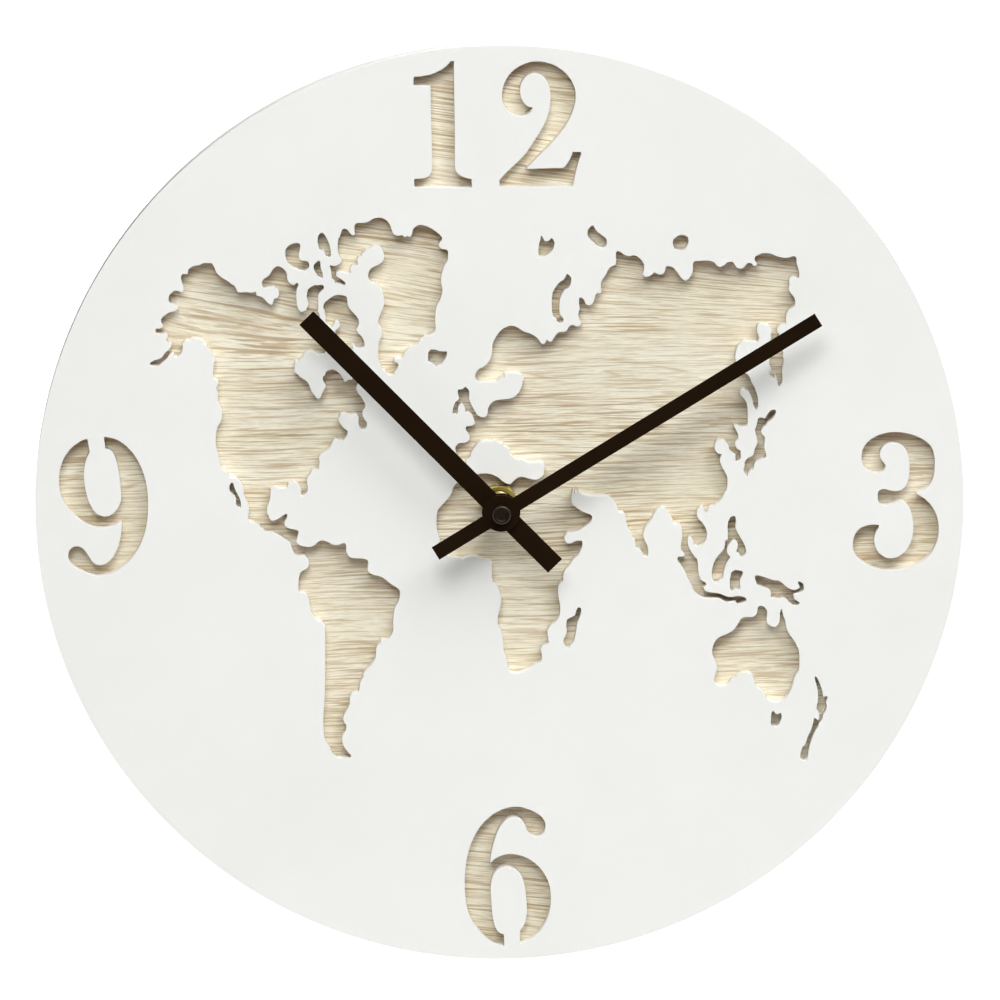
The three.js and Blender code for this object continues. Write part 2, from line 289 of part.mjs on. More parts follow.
    29.79, 86.9, 31.83, 84.56, 32.93, 83.76, 33.63, 83.46, 34.52, 83.42, 35.27, 83.84,
  ],
  arctic_isle_b: [
    -57.06, 89.38, -57.43, 88.35, -57.53, 87.19, -57.07, 84.58, -56.22, 83.99, -55.39, 84.15, -54.98, 82.53, -54.32, 82.02,
    -53.66, 81.89, -53.33, 82.24, -53.26, 83.08, -53.63, 85.64, -54.46, 87.9, -55.41, 89.52, -55.8, 89.94, -56.28, 90.02,
  ],
  arctic_isle_c: [
    60.9, 86.92, 59.38, 87.12, 57.28, 85.83, 57.03, 85.39, 56.92, 84.29, 57.6, 82.24, 58.6, 82.16, 59.39, 81.73,
    60.79, 82.38, 61.74, 83.91, 61.97, 84.72, 61.88, 85.89, 61.4, 86.65,
  ],
  arctic_isle_d: [
    15.29, 80.58, 15.93, 80.85, 18.25, 83.07, 18.87, 85.28, 18.15, 86.77, 17.71, 86.76, 16.78, 85.9, 15.96, 85.82,
    15.57, 86.1, 14.84, 87.55, 14.5, 87.59, 13.62, 83.51, 13.69, 81.36, 13.95, 80.56,
  ],
  arctic_isle_e: [
    -60.34, 78.92, -60.51, 80.38, -61.13, 80.82, -62.83, 81, -63.46, 81.68, -63.61, 83.36, -63.23, 84.86, -63.13, 86.03,
    -63.27, 86.51, -63.76, 86.76, -64.78, 86.71, -65.95, 86.43, -67.03, 85.87, -67.91, 84.54, -67.97, 83.44, -67.57, 81.08,
    -66.48, 79.44, -64.8, 78.41, -63.81, 78.24, -63.24, 77.81, -61.71, 77.7, -60.83, 78.19,
  ],
  arctic_isle_f: [
    -55.98, 76.48, -56.65, 78.39, -56.76, 80.26, -57, 80.78, -57.36, 80.93, -58.84, 79.56, -58.94, 78.56, -58.23, 76.74,
    -57.52, 75.74, -56.13, 74.95,
  ],
  arctic_isle_g: [
    22.61, 74.9, 21.65, 73.27, 20.21, 72.31, 18.21, 69.5, 17.77, 67.41, 17.71, 63.19, 18.18, 60.88, 19.02, 60.42,
    19.2, 59.53, 20.23, 58.89, 20.95, 59.04, 21.36, 59.87, 21.25, 60.5, 20.4, 61.65, 20.12, 62.44, 20.46, 67.18,
    21.92, 69.67, 22.84, 70.21, 23.48, 70.91, 23.91, 72.06, 23.96, 73.67, 22.96, 75,
  ],
  australia: [
    91.3, -66.11, 92.45, -64.9, 94.02, -61.48, 94.47, -59.57, 95.17, -57.83, 95.97, -56.85, 96.29, -53.73, 96.04, -49.61,
    95.41, -48.47, 95.16, -47.53, 93.18, -44.68, 92.2, -42.69, 91.71, -39.65, 91.31, -38.85, 90.81, -36.26, 90.57, -36.29,
    90.33, -36.95, 90.08, -38.24, 90.1, -39.53, 89.5, -41.26, 88.82, -42.02, 88, -42.09, 86.81, -41.62, 85.99, -40.82,
    85.76, -39.81, 86.01, -37.01, 85.23, -35.62, 84.31, -35.07, 83.42, -35.12, 83.11, -35.36, 82.5, -37.81, 81.81, -38.46,
    81.29, -38.67, 78.64, -38.64, 78.04, -38.84, 77.34, -39.51, 74.92, -42.94, 70.32, -45.2, 69.3, -46.1, 68.83, -46.8,
    68.12, -49.01, 68.1, -49.79, 68.38, -51.48, 69.42, -53.62, 69.65, -54.97, 68.57, -58.72, 68.64, -59.95, 68.87, -60.55,
    69.86, -61.25, 71.51, -61.35, 72.96, -60.73, 74.49, -59.01, 75.33, -58.77, 75.92, -58.2, 77.63, -57.33, 79.79, -57.16,
    80.86, -57.68, 81.71, -59.92, 81.77, -60.97, 82.63, -62.2, 83.48, -62.64, 84.14, -63.27, 85.9, -66, 87.59, -66.88,
    89.5, -66.89, 90.28, -66.63,
  ],
  baffin: [
    -55.17, 67.51, -55.7, 66.88, -56.01, 65.56, -55.5, 64.03, -55.35, 62.35, -55.46, 60.7, -53.51, 58.73, -52.98, 59.18,
    -52.3, 60.74, -51.52, 60.95, -50.87, 60.58, -50.65, 59.99, -50.77, 59.16, -52.32, 57.8, -51.95, 55.99, -50.69, 54.27,
    -48.61, 52.32, -46.73, 51.48, -46.58, 51.91, -46.86, 53.19, -46.46, 53.58, -46.07, 53.37, -46.04, 52.69, -45.84, 52.42,
    -44.33, 52.01, -43.11, 52.45, -42.94, 52.86, -43.23, 54.78, -43.73, 55.7, -45.05, 57.18, -45.49, 58.1, -44.64, 60,
    -44.78, 61.41, -45.44, 62.59, -47.98, 65.72, -48.35, 68.66, -48.75, 69.06, -49.85, 69.42, -51.89, 69.52,
  ],
  baja: [
    -87.16, 7.65, -87.07, 5.96, -86.75, 5.4, -85.84, 4.69, -85.22, 3.7, -85.2, 1.15, -83.83, 0.39, -83.62, 0.65,
    -83.58, 1.36, -83.94, 3.36, -85.5, 6.73, -85.96, 8.23, -86.31, 8.75, -86.56, 8.8,
  ],
  borneo_philippines: [
    70.18, -27.25, 70.58, -26.49, 71.64, -25.82, 71.94, -25.41, 72.05, -24.05, 73.09, -20.7, 74.22, -19.17, 74.19, -18.67,
    73.47, -17.85, 73.19, -16.99, 73.41, -15.53, 74.38, -14.17, 75.2, -13.44, 75.72, -13.26, 76.39, -13.72, 76.79, -15.08,
    76.17, -17.28, 76.33, -17.49, 76.91, -17.49, 77.62, -18.75, 78.39, -18.83, 79.33, -17.56, 79.36, -16.65, 78.98, -15.06,
    76.22, -9.82, 76.02, -8.79, 76.24, -7.3, 76.16, -6.06, 75.97, -5.52, 75.56, -5.24, 74.54, -5.66, 73.71, -7.34,
    73.56, -13.09, 72.7, -13.41, 72.49, -15.33, 72.18, -16.18, 69.86, -18.87, 68.72, -21.21, 68.33, -22.86, 68.31, -24.24,
    68.69, -26.7, 69.43, -27.47,
  ],
  eurasia_africa: [
    95.97, 79.46, 93.22, 78.92, 90.46, 79.54, 88.73, 80.35, 85.85, 80.55, 83.77, 79.74, 83.4, 79.41, 83.34, 78.21,
    84.06, 77.08, 83.81, 76.64, 82.97, 76.5, 82.1, 77.43, 81.3, 77.48, 80.53, 77.05, 79.66, 76.03, 78.63, 75.68,
    77.44, 76.1, 76.41, 77.66, 76, 77.91, 74.48, 77.81, 73.08, 76.69, 72.08, 76.32, 71.27, 76.69, 69.52, 78.25,
    64.49, 78.44, 63.7, 78.21, 63.43, 77.88, 63.3, 75.29, 63.03, 74.37, 61.83, 72.68, 60.94, 72.13, 60.35, 72.31,
    59.27, 73.29, 58.17, 75.06, 56.74, 76.62, 55.09, 77.02, 54.47, 76.69, 54.18, 75.19, 53.41, 74.36, 52.41, 74.27,
    50.97, 75.07, 49.36, 73.86, 48.49, 73.65, 47.66, 73.71, 46.99, 74.58, 47.43, 75.54, 47.51, 77.79, 46.04, 79.82,
    44.48, 80.7, 42.92, 80.46, 41.79, 80.7, 41.03, 81.05, 39.74, 82.08, 38.94, 82.17, 38.58, 81.63, 38.61, 78.89,
    38.41, 77.81, 36.64, 76.93, 36.03, 76.28, 35.13, 74.41, 33.67, 72.21, 33.69, 68.92, 33.28, 68.56, 32.35, 68.53,
    31.92, 68.19, 31.05, 65.52, 30.11, 64.76, 29.1, 64.73, 28.6, 65.1, 28.14, 66.31, 27.67, 66.93, 26.98, 67.37,
    26.54, 67.11, 26.44, 65.3, 26.68, 63.9, 26.15, 61.35, 27.12, 58.82, 26.3, 57.88, 25.51, 57.81, 24.27, 58.32,
    23.59, 58.25, 23.09, 57.77, 22.36, 56.46, 21.52, 56.14, 19.92, 56.05, 19.33, 55.69, 17.41, 53.01, 16.66, 53.08,
    15.94, 53.72, 15.14, 52.46, 14.62, 52.19, 14.12, 52.5, 13.1, 53.93, 12.05, 54.89, 10.32, 55.89, 8.78, 56.32,
    6.34, 57.91, 5.32, 58.3, 4.04, 58.42, 2.83, 57.99, 1.58, 57.36, 0.15, 55.87, -1.5, 52.94, -1.88, 49.85,
    -2.46, 47.58, -2.91, 46.8, -4.46, 45.26, -5.68, 44.73, -6.69, 43.94, -7.23, 42.91, -7.22, 41.35, -6.75, 40.44,
    -6, 40.11, -1, 40, -0.22, 40.26, 0.76, 41.25, 2.1, 41.62, 2.22, 42, 2.01, 42.5, 2.49, 42.79,
    7.01, 42.5, 8.2, 41.61, 8.39, 41.04, 7.87, 40.25, 7.71, 39.03, 6.73, 36.7, 5.35, 35.29, 4.3, 34.7,
    -0.38, 34.17, -1.7, 33.69, -2.89, 32.44, -3.43, 31.12, -3.52, 29.89, -3.78, 29.23, -4.4, 28.69, -5.54, 28.65,
    -6.62, 29.21, -7.25, 29.94, -8.85, 33.15, -9.46, 34.72, -9.39, 37.13, -9.92, 38.17, -10.71, 38.73, -11.55, 38.01,
    -12.98, 37.87, -13.05, 36.92, -12.74, 34.94, -12.93, 34.48, -13.88, 33.67, -14.27, 32.93, -14.74, 31.31, -14.8, 29.91,
    -14.35, 29.65, -13.58, 29.8, -13.13, 30.48, -13.04, 31.91, -12.78, 32.51, -12.3, 32.99, -11.69, 33, -10.95, 32.25,
    -10.63, 30.3, -9.49, 30.29, -8.75, 29.85, -8.2, 28.74, -7.73, 26.78, -7.84, 26.44, -8.3, 26.1, -8.96, 25.87,
    -10.24, 25.82, -10.67, 25.4, -10.67, 24.64, -9.52, 22.7, -9.5, 21.65, -9.76, 21.08, -10.93, 20.45, -13.02, 20.26,
    -14.03, 19.22, -14.05, 17.73, -13.48, 16.14, -12.1, 14.25, -11.08, 13.46, -10.66, 13.53, -10.43, 14.04, -10.61, 14.67,
    -9.86, 15.08, -9.24, 15.72, -9.04, 16.9, -8.13, 18.44, -7.14, 19.63, -6.05, 20.44, -4.38, 20.82, -2.71, 20.56,
    -1.45, 20.86, -0.72, 20.65, 0.11, 19.94, 1.39, 19.74, 1.67, 18.94, 2.47, 18.6, 3.42, 17.84, 3.21, 17.02,
    3.36, 16.48, 4.69, 15.1, 5.51, 14.59, 6.27, 14.34, 7.55, 14.41, 9.06, 13.5, 9.93, 13.29, 13.85, 13.24,
    14.4, 12.83, 14.72, 12.21, 14.44, 11.48, 14.36, 9.75, 13.66, 8.74, 12.46, 7.98, 11.07, 7.84, 6.86, 8.88,
    5.34, 8.19, 3.46, 6.47, 2.41, 6.72, 0.95, 7.51, -0.46, 8.81, -3.82, 10.14, -8.31, 9.71, -12.66, 8.08,
    -14.2, 6.82, -14.92, 5.91, -15.5, 4.07, -16.22, 2.77, -19.95, -1.44, -20.4, -2.9, -20.4, -7.94, -19.59, -11.11,
    -19.77, -12.36, -19.31, -14.14, -17.78, -16.09, -15.9, -17.23, -14.05, -17.42, -12.23, -17.98, -11.52, -17.61, -7.22, -17.46,
    -4.7, -18.59, -3.32, -18.69, -2.75, -19.28, -2.82, -24.37, -2.29, -25.98, -1.69, -26.5, -0, -29.87, -0.1, -32.87,
    -1.05, -36.44, -1.25, -37.93, -1.11, -39.61, 0.13, -42.56, 0.71, -48.63, 1.28, -50.14, 2.35, -55.02, 2.91, -55.62,
    4.99, -55.87, 6.87, -55.28, 9.77, -53.77, 10.28, -53.23, 11.75, -52.65, 12.67, -51.84, 12.91, -51.25, 12.95, -50.33,
    12.56, -47.72, 13.5, -46.73, 14.91, -46.29, 15.25, -45.86, 14.73, -42.21, 15.87, -40.4, 17.35, -39.29, 18.73, -37.33,
    19.04, -35.8, 19.07, -34.22, 18.42, -29.74, 18.57, -27.26, 19.36, -26.09, 20.26, -25.6, 20.07, -24.27, 20.89, -22.15,
    22.09, -20.84, 23.58, -18.6, 25.04, -17.25, 26.31, -14.76, 26.53, -13.27, 26.49, -12.83, 26.24, -12.57, 24.72, -12.47,
    22.65, -13.3, 21.71, -13.33, 20.89, -12.37, 20.73, -11.32, 21.24, -10.5, 21.92, -10.03, 24.59, -9.7, 26.98, -8.35,
    28.94, -6.78, 29.79, -5.28, 29.75, -4.57, 29.47, -4.15, 26.41, -2.79, 24.15, -1.14, 23.29, -0.26, 23.15, 0.49,
    23.29, 2.64, 23.55, 3.79, 23.82, 4.14, 24.01, 3.88, 24.05, 2.51, 24.5, 3.44, 25.06, 3.17, 25.29, 4.12,
    25.87, 3.29, 26.69, 2.67, 29.87, 2, 34.61, 1.84, 35.88, 1.1, 37.74, -1.3, 38.3, -3.4, 38.67, -3.6,
    39.79, -3.64, 40.44, -4.58, 40.97, -7.65, 41.62, -9.26, 42.11, -9.84, 42.27, -10.71, 42.77, -11.03, 42.89, -12.3,
    43.49, -12.75, 43.83, -15.03, 44.38, -15.44, 45.18, -15.58, 46.27, -17.69, 47, -18.07, 47.43, -18.05, 47.69, -17.82,
    47.76, -16.52, 47.57, -14.76, 46.31, -11.9, 46.24, -10.66, 46.67, -9.23, 47.11, -8.25, 49.04, -6.09, 49.77, -4.35,
    50.5, -3.22, 51.47, -2.31, 52.49, -2.16, 52.96, -2.32, 54.1, -3.72, 55.82, -6.58, 55.98, -7.9, 56.35, -8.03,
    57.5, -7.53, 58.04, -7.87, 58.57, -8.58, 58.74, -12.31, 58.4, -13.55, 58.46, -16.37, 58.62, -16.69, 59.15, -16.92,
    59.64, -17.81, 59.13, -18.38, 57.46, -18.41, 57.23, -18.77, 57.22, -19.48, 59.37, -22.89, 60.56, -25.86, 61.01, -26.32,
    61.2, -27.27, 61.84, -28.07, 62.08, -29.14, 62.55, -30, 65.3, -31.98, 67.26, -32.31, 70.48, -32.38, 72.34, -33.42,
    73.15, -33.63, 75.44, -33.41, 75.83, -33.61, 76.42, -34.43, 78.17, -33.94, 79.26, -33.29, 79.26, -32.51, 78.32, -32,
    76.41, -31.69, 74.95, -31.96, 73.53, -31.91, 70.03, -30.62, 66.91, -30.18, 66.03, -29.66, 65.44, -28.62, 66.3, -28.04,
    66.36, -27.43, 65.96, -26.94, 64.86, -26.26, 64.47, -25.66, 63.96, -23.79, 63.53, -19.29, 62.77, -18.45, 60.98, -15.56,
    60.63, -14.44, 60.54, -12.81, 60.81, -11.97, 61.33, -12, 62.14, -13.03, 62.68, -14.85, 63.43, -15.04, 63.85, -15.45,
    65.49, -14.4, 66.68, -12.56, 66.66, -9.88, 65.47, -7.5, 64.36, -6.32, 63.68, -5.05, 63.74, -3.58, 64.8, -2.38,
    65.46, -2.24, 66.25, -3.33, 66.47, -4.19, 67.05, -4.33, 67.39, -3.02, 68.14, -2.33, 69.03, -2.04, 69.95, -1.12,
    70.62, -0.88, 72.14, 0.93, 72.86, 2.55, 73.28, 2.98, 73.64, 4.7, 73.62, 7.24, 73.37, 8.26, 71.82, 11.13,
    71.28, 13.06, 71.94, 15.01, 70.6, 15.38, 69.68, 16.7, 69.63, 17.34, 70.15, 19.2, 71.22, 20.05, 71.61, 19.56,
    73.14, 18.87, 74.11, 17.74, 74.45, 16.32, 76.36, 14.68, 76.36, 12.55, 76.75, 12.49, 77.66, 12.92, 78.04, 13.55,
    77.93, 16.17, 76.95, 16.69, 76.26, 18.08, 76.32, 19.03, 77.23, 19.98, 77.3, 21.02, 75.88, 24.47, 76.14, 24.61,
    76.75, 24.49, 77.48, 23.9, 79.14, 23.83, 79.81, 24.04, 80.3, 24.68, 80.44, 26.89, 80.32, 30.6, 79.67, 32.65,
    78.19, 34.17, 78.06, 35.41, 78.53, 35.83, 79.34, 36.04, 80.61, 35.48, 81.15, 34.83, 81.89, 33.1, 82.49, 30.39,
    83.08, 29.52, 83.52, 29.67, 83.76, 30.02, 83.73, 33.24, 83.43, 34.58, 82.46, 37.29, 81.75, 38.29, 81.34, 39.73,
    80.76, 40.81, 78.91, 42.01, 77.34, 43.91, 76.63, 46.44, 76.75, 47.79, 77.54, 50.14, 79.18, 51.58, 80.12, 51.98,
    80.84, 51.89, 81.44, 52.15, 82.22, 51.67, 83.45, 51.9, 83.8, 51.55, 84.03, 51.63, 84.4, 52.22, 84.44, 52.93,
    83.78, 55.1, 83.77, 56.41, 84.47, 57.43, 85.57, 57.69, 86.48, 56.91, 87.11, 56.91, 87.99, 56.49, 88.68, 55.14,
    88.28, 54.5, 88.3, 51.76, 87.66, 45.14, 87.36, 44.25, 88.01, 43.25, 88.32, 42.19, 88.17, 41.97, 87.58, 42.05,
    87.51, 41.6, 87.93, 39.91, 88.28, 39.39, 88.85, 39.37, 89.34, 40.3, 89.85, 39.93, 90.54, 36.83, 90.89, 36.85,
    91.7, 38.04, 91.81, 40.19, 91.65, 42, 92.27, 45.06, 92.26, 45.9, 91.93, 46.73, 92.12, 47.71, 91.24, 50.86,
    90.81, 54.16, 90.29, 54.85, 90.15, 55.54, 90.73, 56.36, 91.93, 57.07, 93.1, 57.06, 93.36, 60.7, 94.15, 61.72,
    95.85, 62.98, 96.08, 63.34, 96.17, 64.57, 95.72, 66.13, 94.26, 68.13, 94.06, 68.95, 94.4, 70.16, 94.24, 71.82,
    94.56, 72.28, 95.25, 72.81, 96.46, 72.49, 97.14, 72.05, 97.56, 72.45, 97.57, 74.13, 96.76, 77.21, 96.81, 78.57,
    96.35, 79.33,
  ],
  greenland: [
    -33.51, 43.11, -33.19, 44.11, -32.74, 44.47, -32.07, 46.01, -32.22, 46.8, -33.45, 47.42, -33.33, 47.95, -32.35, 48.37,
    -31.48, 48.26, -31, 48.41, -29.68, 50.4, -28.57, 51.49, -26.38, 52.53, -25.18, 53.66, -24.91, 54.31, -23.96, 54.79,
    -23.6, 55.3, -22.54, 55.47, -21.52, 55.95, -20.4, 56.81, -19.96, 57.52, -20.07, 60.61, -19.69, 64.42, -19.21, 65.78,
    -18.17, 67.69, -17.65, 69.63, -17.52, 70.86, -17.95, 72.76, -17.92, 74.65, -16.65, 78.73, -15.92, 79.68, -15.6, 81.14,
    -15.58, 83.1, -16.08, 83.79, -17.51, 83.95, -18.4, 84.76, -18.42, 85.68, -17.38, 86.91, -17.43, 87.62, -17.79, 88.23,
    -20.08, 90.23, -22.08, 91.4, -23.93, 91.91, -24.83, 91.9, -25.61, 91.59, -26.72, 90.55, -27.12, 88.93, -27.57, 88.22,
    -28.11, 88.03, -28.53, 88.5, -29.36, 87.99, -30.37, 88.78, -31.72, 88.52, -32.99, 89.1, -33.43, 89.88, -34.17, 92.29,
    -35.52, 93.85, -36.94, 94.43, -38.99, 94.43, -41.66, 93.12, -44.71, 92.95, -45.17, 92.77, -45.62, 91.87, -45.43, 89.37,
    -45.76, 88.93, -46.46, 89.02, -48.23, 91.05, -48.87, 91.29, -49.4, 90.98, -49.84, 90.19, -50.27, 88.69, -50.89, 87.73,
    -51.05, 85.34, -50.96, 83.27, -50.43, 81.83, -49.8, 80.81, -50.38, 79.91, -51.49, 79.27, -52.55, 79.07, -53.61, 79.4,
    -53.79, 78.83, -53.36, 77.7, -53.08, 74.59, -52.84, 74.95, -51.81, 73.29, -50.36, 73.17, -49.68, 72.68, -49.07, 72.6,
    -48.77, 72.94, -48.84, 73.62, -50.14, 74.75, -51.56, 75.59, -51.75, 76.25, -51.55, 76.83, -50.31, 77.24, -49.8, 76.85,
    -48.76, 76.51, -47.13, 76.45, -46.92, 76.87, -47.1, 77.79, -46.78, 78.63, -46.25, 79.06, -45.19, 78.91, -44.75, 79.09,
    -44.63, 79.57, -44.84, 80.62, -44.69, 81.31, -44.33, 81.66, -43.51, 81.94, -43.22, 82.82, -42.37, 83.34, -42.03, 84.05,
    -40.88, 84.33, -39.61, 85.24, -37.65, 84.98, -36.97, 84.55, -36.13, 82.27, -36.15, 81.49, -36.62, 80.28, -37.96, 79.22,
    -39.69, 78.46, -40.82, 77.6, -41.31, 76.48, -41.36, 75.44, -41.1, 74.25, -40.76, 73.79, -40.13, 73.25, -38.92, 72.85,
    -37.21, 70.96, -36.38, 68.63, -36.44, 66.17, -38.06, 62.05, -38.45, 60.43, -38.34, 59.54, -37.32, 57.99, -37.23, 56.96,
    -37.61, 55.39, -38.24, 54.03, -38.39, 53, -38.51, 50.79, -38.31, 47.86, -37.14, 44.58, -36.45, 44.19, -35.66, 43.08,
    -33.92, 42.8,
  ],
  iceland: [
    -18.67, 50.54, -19.92, 51.03, -21.56, 51.14, -22.45, 50.08, -22.44, 47.09, -20.37, 45.89, -19.94, 45.29, -19.7, 45.26,
    -19.1, 45.9, -18.28, 46.16, -17.56, 47.06, -16.43, 49.2, -16.44, 50.39,
  ],
  japan: [
    80.3, 7.68, 80.43, 8.55, 80.93, 9.26, 81.45, 9.72, 82.03, 9.86, 82.47, 11.67, 82.88, 12.31, 84.03, 12.85,
    84.74, 13.48, 85.79, 13.44, 86.21, 13.78, 86.26, 14.48, 85.67, 16.95, 86, 20.24, 84.82, 21.77, 84.72, 22.32,
    85.28, 23.54, 86.25, 23.98, 86.61, 24.83, 88.24, 26.13, 89.53, 28.27, 89.55, 28.91, 89.27, 29.2, 88.38, 29.29,
    87.92, 29.11, 86.92, 27.99, 85.97, 26.41, 84.52, 26.89, 83.99, 26.68, 83.64, 26.24, 83.37, 24.57, 82.74, 22.9,
    82.77, 22.12, 83.49, 19.35, 83.2, 17.84, 82.67, 16.81, 82.11, 14.76, 81.63, 14.24, 80.2, 13.52, 79.25, 12.26,
    79.33, 11.43, 79.06, 10.64, 78.98, 9.28, 79.99, 7.52,
  ],
  madagascar: [
    24.98, -34.41, 24.63, -34.64, 23.76, -37.06, 21.47, -38.19, 21.09, -38.77, 20.94, -40.6, 21.12, -42.35, 20.21, -44.45,
    19.99, -45.53, 20.51, -47.17, 21.11, -47.92, 21.81, -47.75, 22.13, -47.07, 23.16, -45.84, 24.1, -42.31, 24.55, -39.67,
    25.73, -36.43, 25.85, -34.93, 25.47, -34.49,
  ],
  new_guinea: [
    82.23, -26.29, 83.06, -28.32, 85.71, -29.22, 86.61, -29.72, 87.32, -30.88, 87.15, -32.29, 87.3, -32.66, 88.06, -32.58,
    89.31, -32.99, 91.75, -32.76, 92.5, -33.25, 93.34, -34.41, 94.61, -35.14, 95.82, -35.15, 96.57, -34.69, 96.46, -34.08,
    94.79, -33.11, 94.51, -31.72, 94.71, -31.32, 96.66, -30.94, 97.99, -30.08, 97.89, -28.26, 97.1, -27.52, 96.4, -27.2,
    96.14, -27.33, 96.21, -28.01, 96.67, -29.01, 96.41, -29.47, 95.5, -29.94, 94.21, -29.94, 92.86, -29.35, 90.63, -27.4,
    89.65, -26.81, 88.73, -26.84, 82.96, -24.97, 82.3, -25.14,
  ],
  new_zealand: [
    97.98, -86.33, 98.38, -85.96, 98.76, -84.85, 98.9, -83.21, 100.02, -79.24, 101.5, -76.15, 102.02, -75.5, 102.45, -74.13,
    103.51, -72.92, 103.86, -71.27, 104.46, -70.44, 105.02, -68.58, 104.81, -67.04, 105.2, -66.01, 105.2, -65.37, 104.89, -65.13,
    104.16, -65.48, 103.84, -65.26, 103.57, -63.46, 102.43, -60.17, 101.91, -59.11, 101.37, -58.61, 101.2, -59.07, 102.07, -63.13,
    102.16, -65.17, 102.17, -66.22, 101.64, -69.32, 102.39, -70.72, 102.46, -72.73, 101.93, -73.15, 101.24, -72.41, 100.81, -72.61,
    100.07, -75.52, 98.48, -79.07, 98.14, -80.4, 97.68, -81.38, 97.15, -81.65, 96.52, -83.01, 96.13, -85.39, 96.55, -86.03,
    97.09, -86.37,
  ],
  sulawesi: [
    75.27, -30.23, 75.67, -29.52, 76.79, -29.56, 77.47, -29.15, 77.34, -26.43, 78.2, -24.63, 78.23, -23.84, 77.99, -23.51,
    75.96, -23.05, 74.55, -23.81, 74.12, -25.99, 74.07, -28.62, 74.3, -29.78, 74.73, -30.29,
  ],
  tasmania: [
    88.15, -74.88, 89.37, -74.41, 90.15, -72.64, 90.26, -71.19, 90.01, -70.44, 88.93, -70.92, 88.31, -70.64, 87.76, -69.87,
    87.3, -69.91, 86.98, -70.87, 86.86, -72.31, 86.85, -74.42, 87.14, -74.87,
  ],
};

// ---------------------------------------------------------------- helpers
// One closed indexed mesh: shared corners merged, empty triangles dropped, faces outwards.
function clean(geometry) {
  let g = geometry.index ? geometry.toNonIndexed() : geometry;
  for (const name of Object.keys(g.attributes)) if (name !== 'position') g.deleteAttribute(name);
  g = mergeVertices(g, 1e-4);
  const p = g.attributes.position;
  const idx = g.index.array;
  const tris = [];
  let volume = 0;
  const a = new THREE.Vector3(), b = new THREE.Vector3(), c = new THREE.Vector3();
  for (let i = 0; i < idx.length; i += 3) {
    if (idx[i] === idx[i + 1] || idx[i + 1] === idx[i + 2] || idx[i + 2] === idx[i]) continue;
    a.fromBufferAttribute(p, idx[i]);
    b.fromBufferAttribute(p, idx[i + 1]);
    c.fromBufferAttribute(p, idx[i + 2]);
    volume += a.dot(b.clone().cross(c)) / 6;
    tris.push(idx[i], idx[i + 1], idx[i + 2]);
  }
  if (volume < 0) for (let i = 0; i < tris.length; i += 3) [tris[i], tris[i + 1]] = [tris[i + 1], tris[i]];
  const out = new THREE.BufferGeometry();
  out.setAttribute('position', new THREE.BufferAttribute(new Float32Array(p.array), 3));
  out.setIndex(tris);
  return out;
}

function toSolid(g) {
  return new wasm.Manifold(new wasm.Mesh({
    numProp: 3,
    vertProperties: new Float32Array(g.attributes.position.array),
    triVerts: new Uint32Array(g.index.array),
  }));
}

function fromSolid(s) {
  const m = s.getMesh();
  const n = m.numProp;
  const count = m.vertProperties.length / n;
  const pos = new Float32Array(count * 3);
  for (let i = 0; i < count; i++) for (let k = 0; k < 3; k++) pos[3 * i + k] = m.vertProperties[i * n + k];
  const g = new THREE.BufferGeometry();
  g.setAttribute('position', new THREE.BufferAttribute(pos, 3));
  g.setIndex(Array.from(m.triVerts));
  return clean(g);
}

// joins the first list of geometries, then cuts the second list away
function build(joined, cut = []) {
  let s = toSolid(joined[0]);
  for (const g of joined.slice(1)) s = s.add(toSolid(g));
  for (const g of cut) s = s.subtract(toSolid(g));
  return fromSolid(s);
}

const vec2 = (pts) => pts.map(([x, y]) => new THREE.Vector2(x, y));

// a flat piece: an x, z outline (with holes) pushed from y0 to y1
function prism(outline, holes, y0, y1) {
  const shape = new THREE.Shape(vec2(outline));
  for (const h of holes) shape.holes.push(new THREE.Path(vec2(h)));
  const g = new THREE.ExtrudeGeometry(shape, { depth: y1 - y0, bevelEnabled: false, steps: 1, curveSegments: 1 });
  g.rotateX(Math.PI / 2);
  g.translate(0, y1, 0);
  return clean(g);
}

// a turned piece about a line parallel to Y: profile of radius, y pairs
function turned(profile, sides, at = C) {
  const g = new THREE.LatheGeometry(vec2(profile), sides);
  g.translate(at[0], 0, at[1]);
  return clean(g);
}

const rod = (r, y0, y1, at = C, sides = 14) => turned([[0, y0], [r, y0], [r, y1], [0, y1]], sides, at);
const ring = (r0, r1, y0, y1, at = C, sides = 28) =>
  turned([[r0, y0], [r1, y0], [r1, y1], [r0, y1], [r0, y0]], sides, at);

// a turned piece about a line parallel to X: profile of radius, x pairs
function turnedX(profile, sides, y, z) {
  const g = new THREE.LatheGeometry(vec2(profile), sides);
  g.rotateZ(-Math.PI / 2);
  g.translate(0, y, z);
  return clean(g);
}

function box(x0, x1, y0, y1, z0, z1) {
  const g = new THREE.BoxGeometry(x1 - x0, y1 - y0, z1 - z0);
  g.translate((x0 + x1) / 2, (y0 + y1) / 2, (z0 + z1) / 2);
  return clean(g);
}

function circle(r, sides, at = C, start = 0) {
  const pts = [];
  for (let k = 0; k < sides; k++) {
    const a = start + (2 * Math.PI * k) / sides;
    pts.push([at[0] + r * Math.cos(a), at[1] + r * Math.sin(a)]);
  }
  return pts;
}

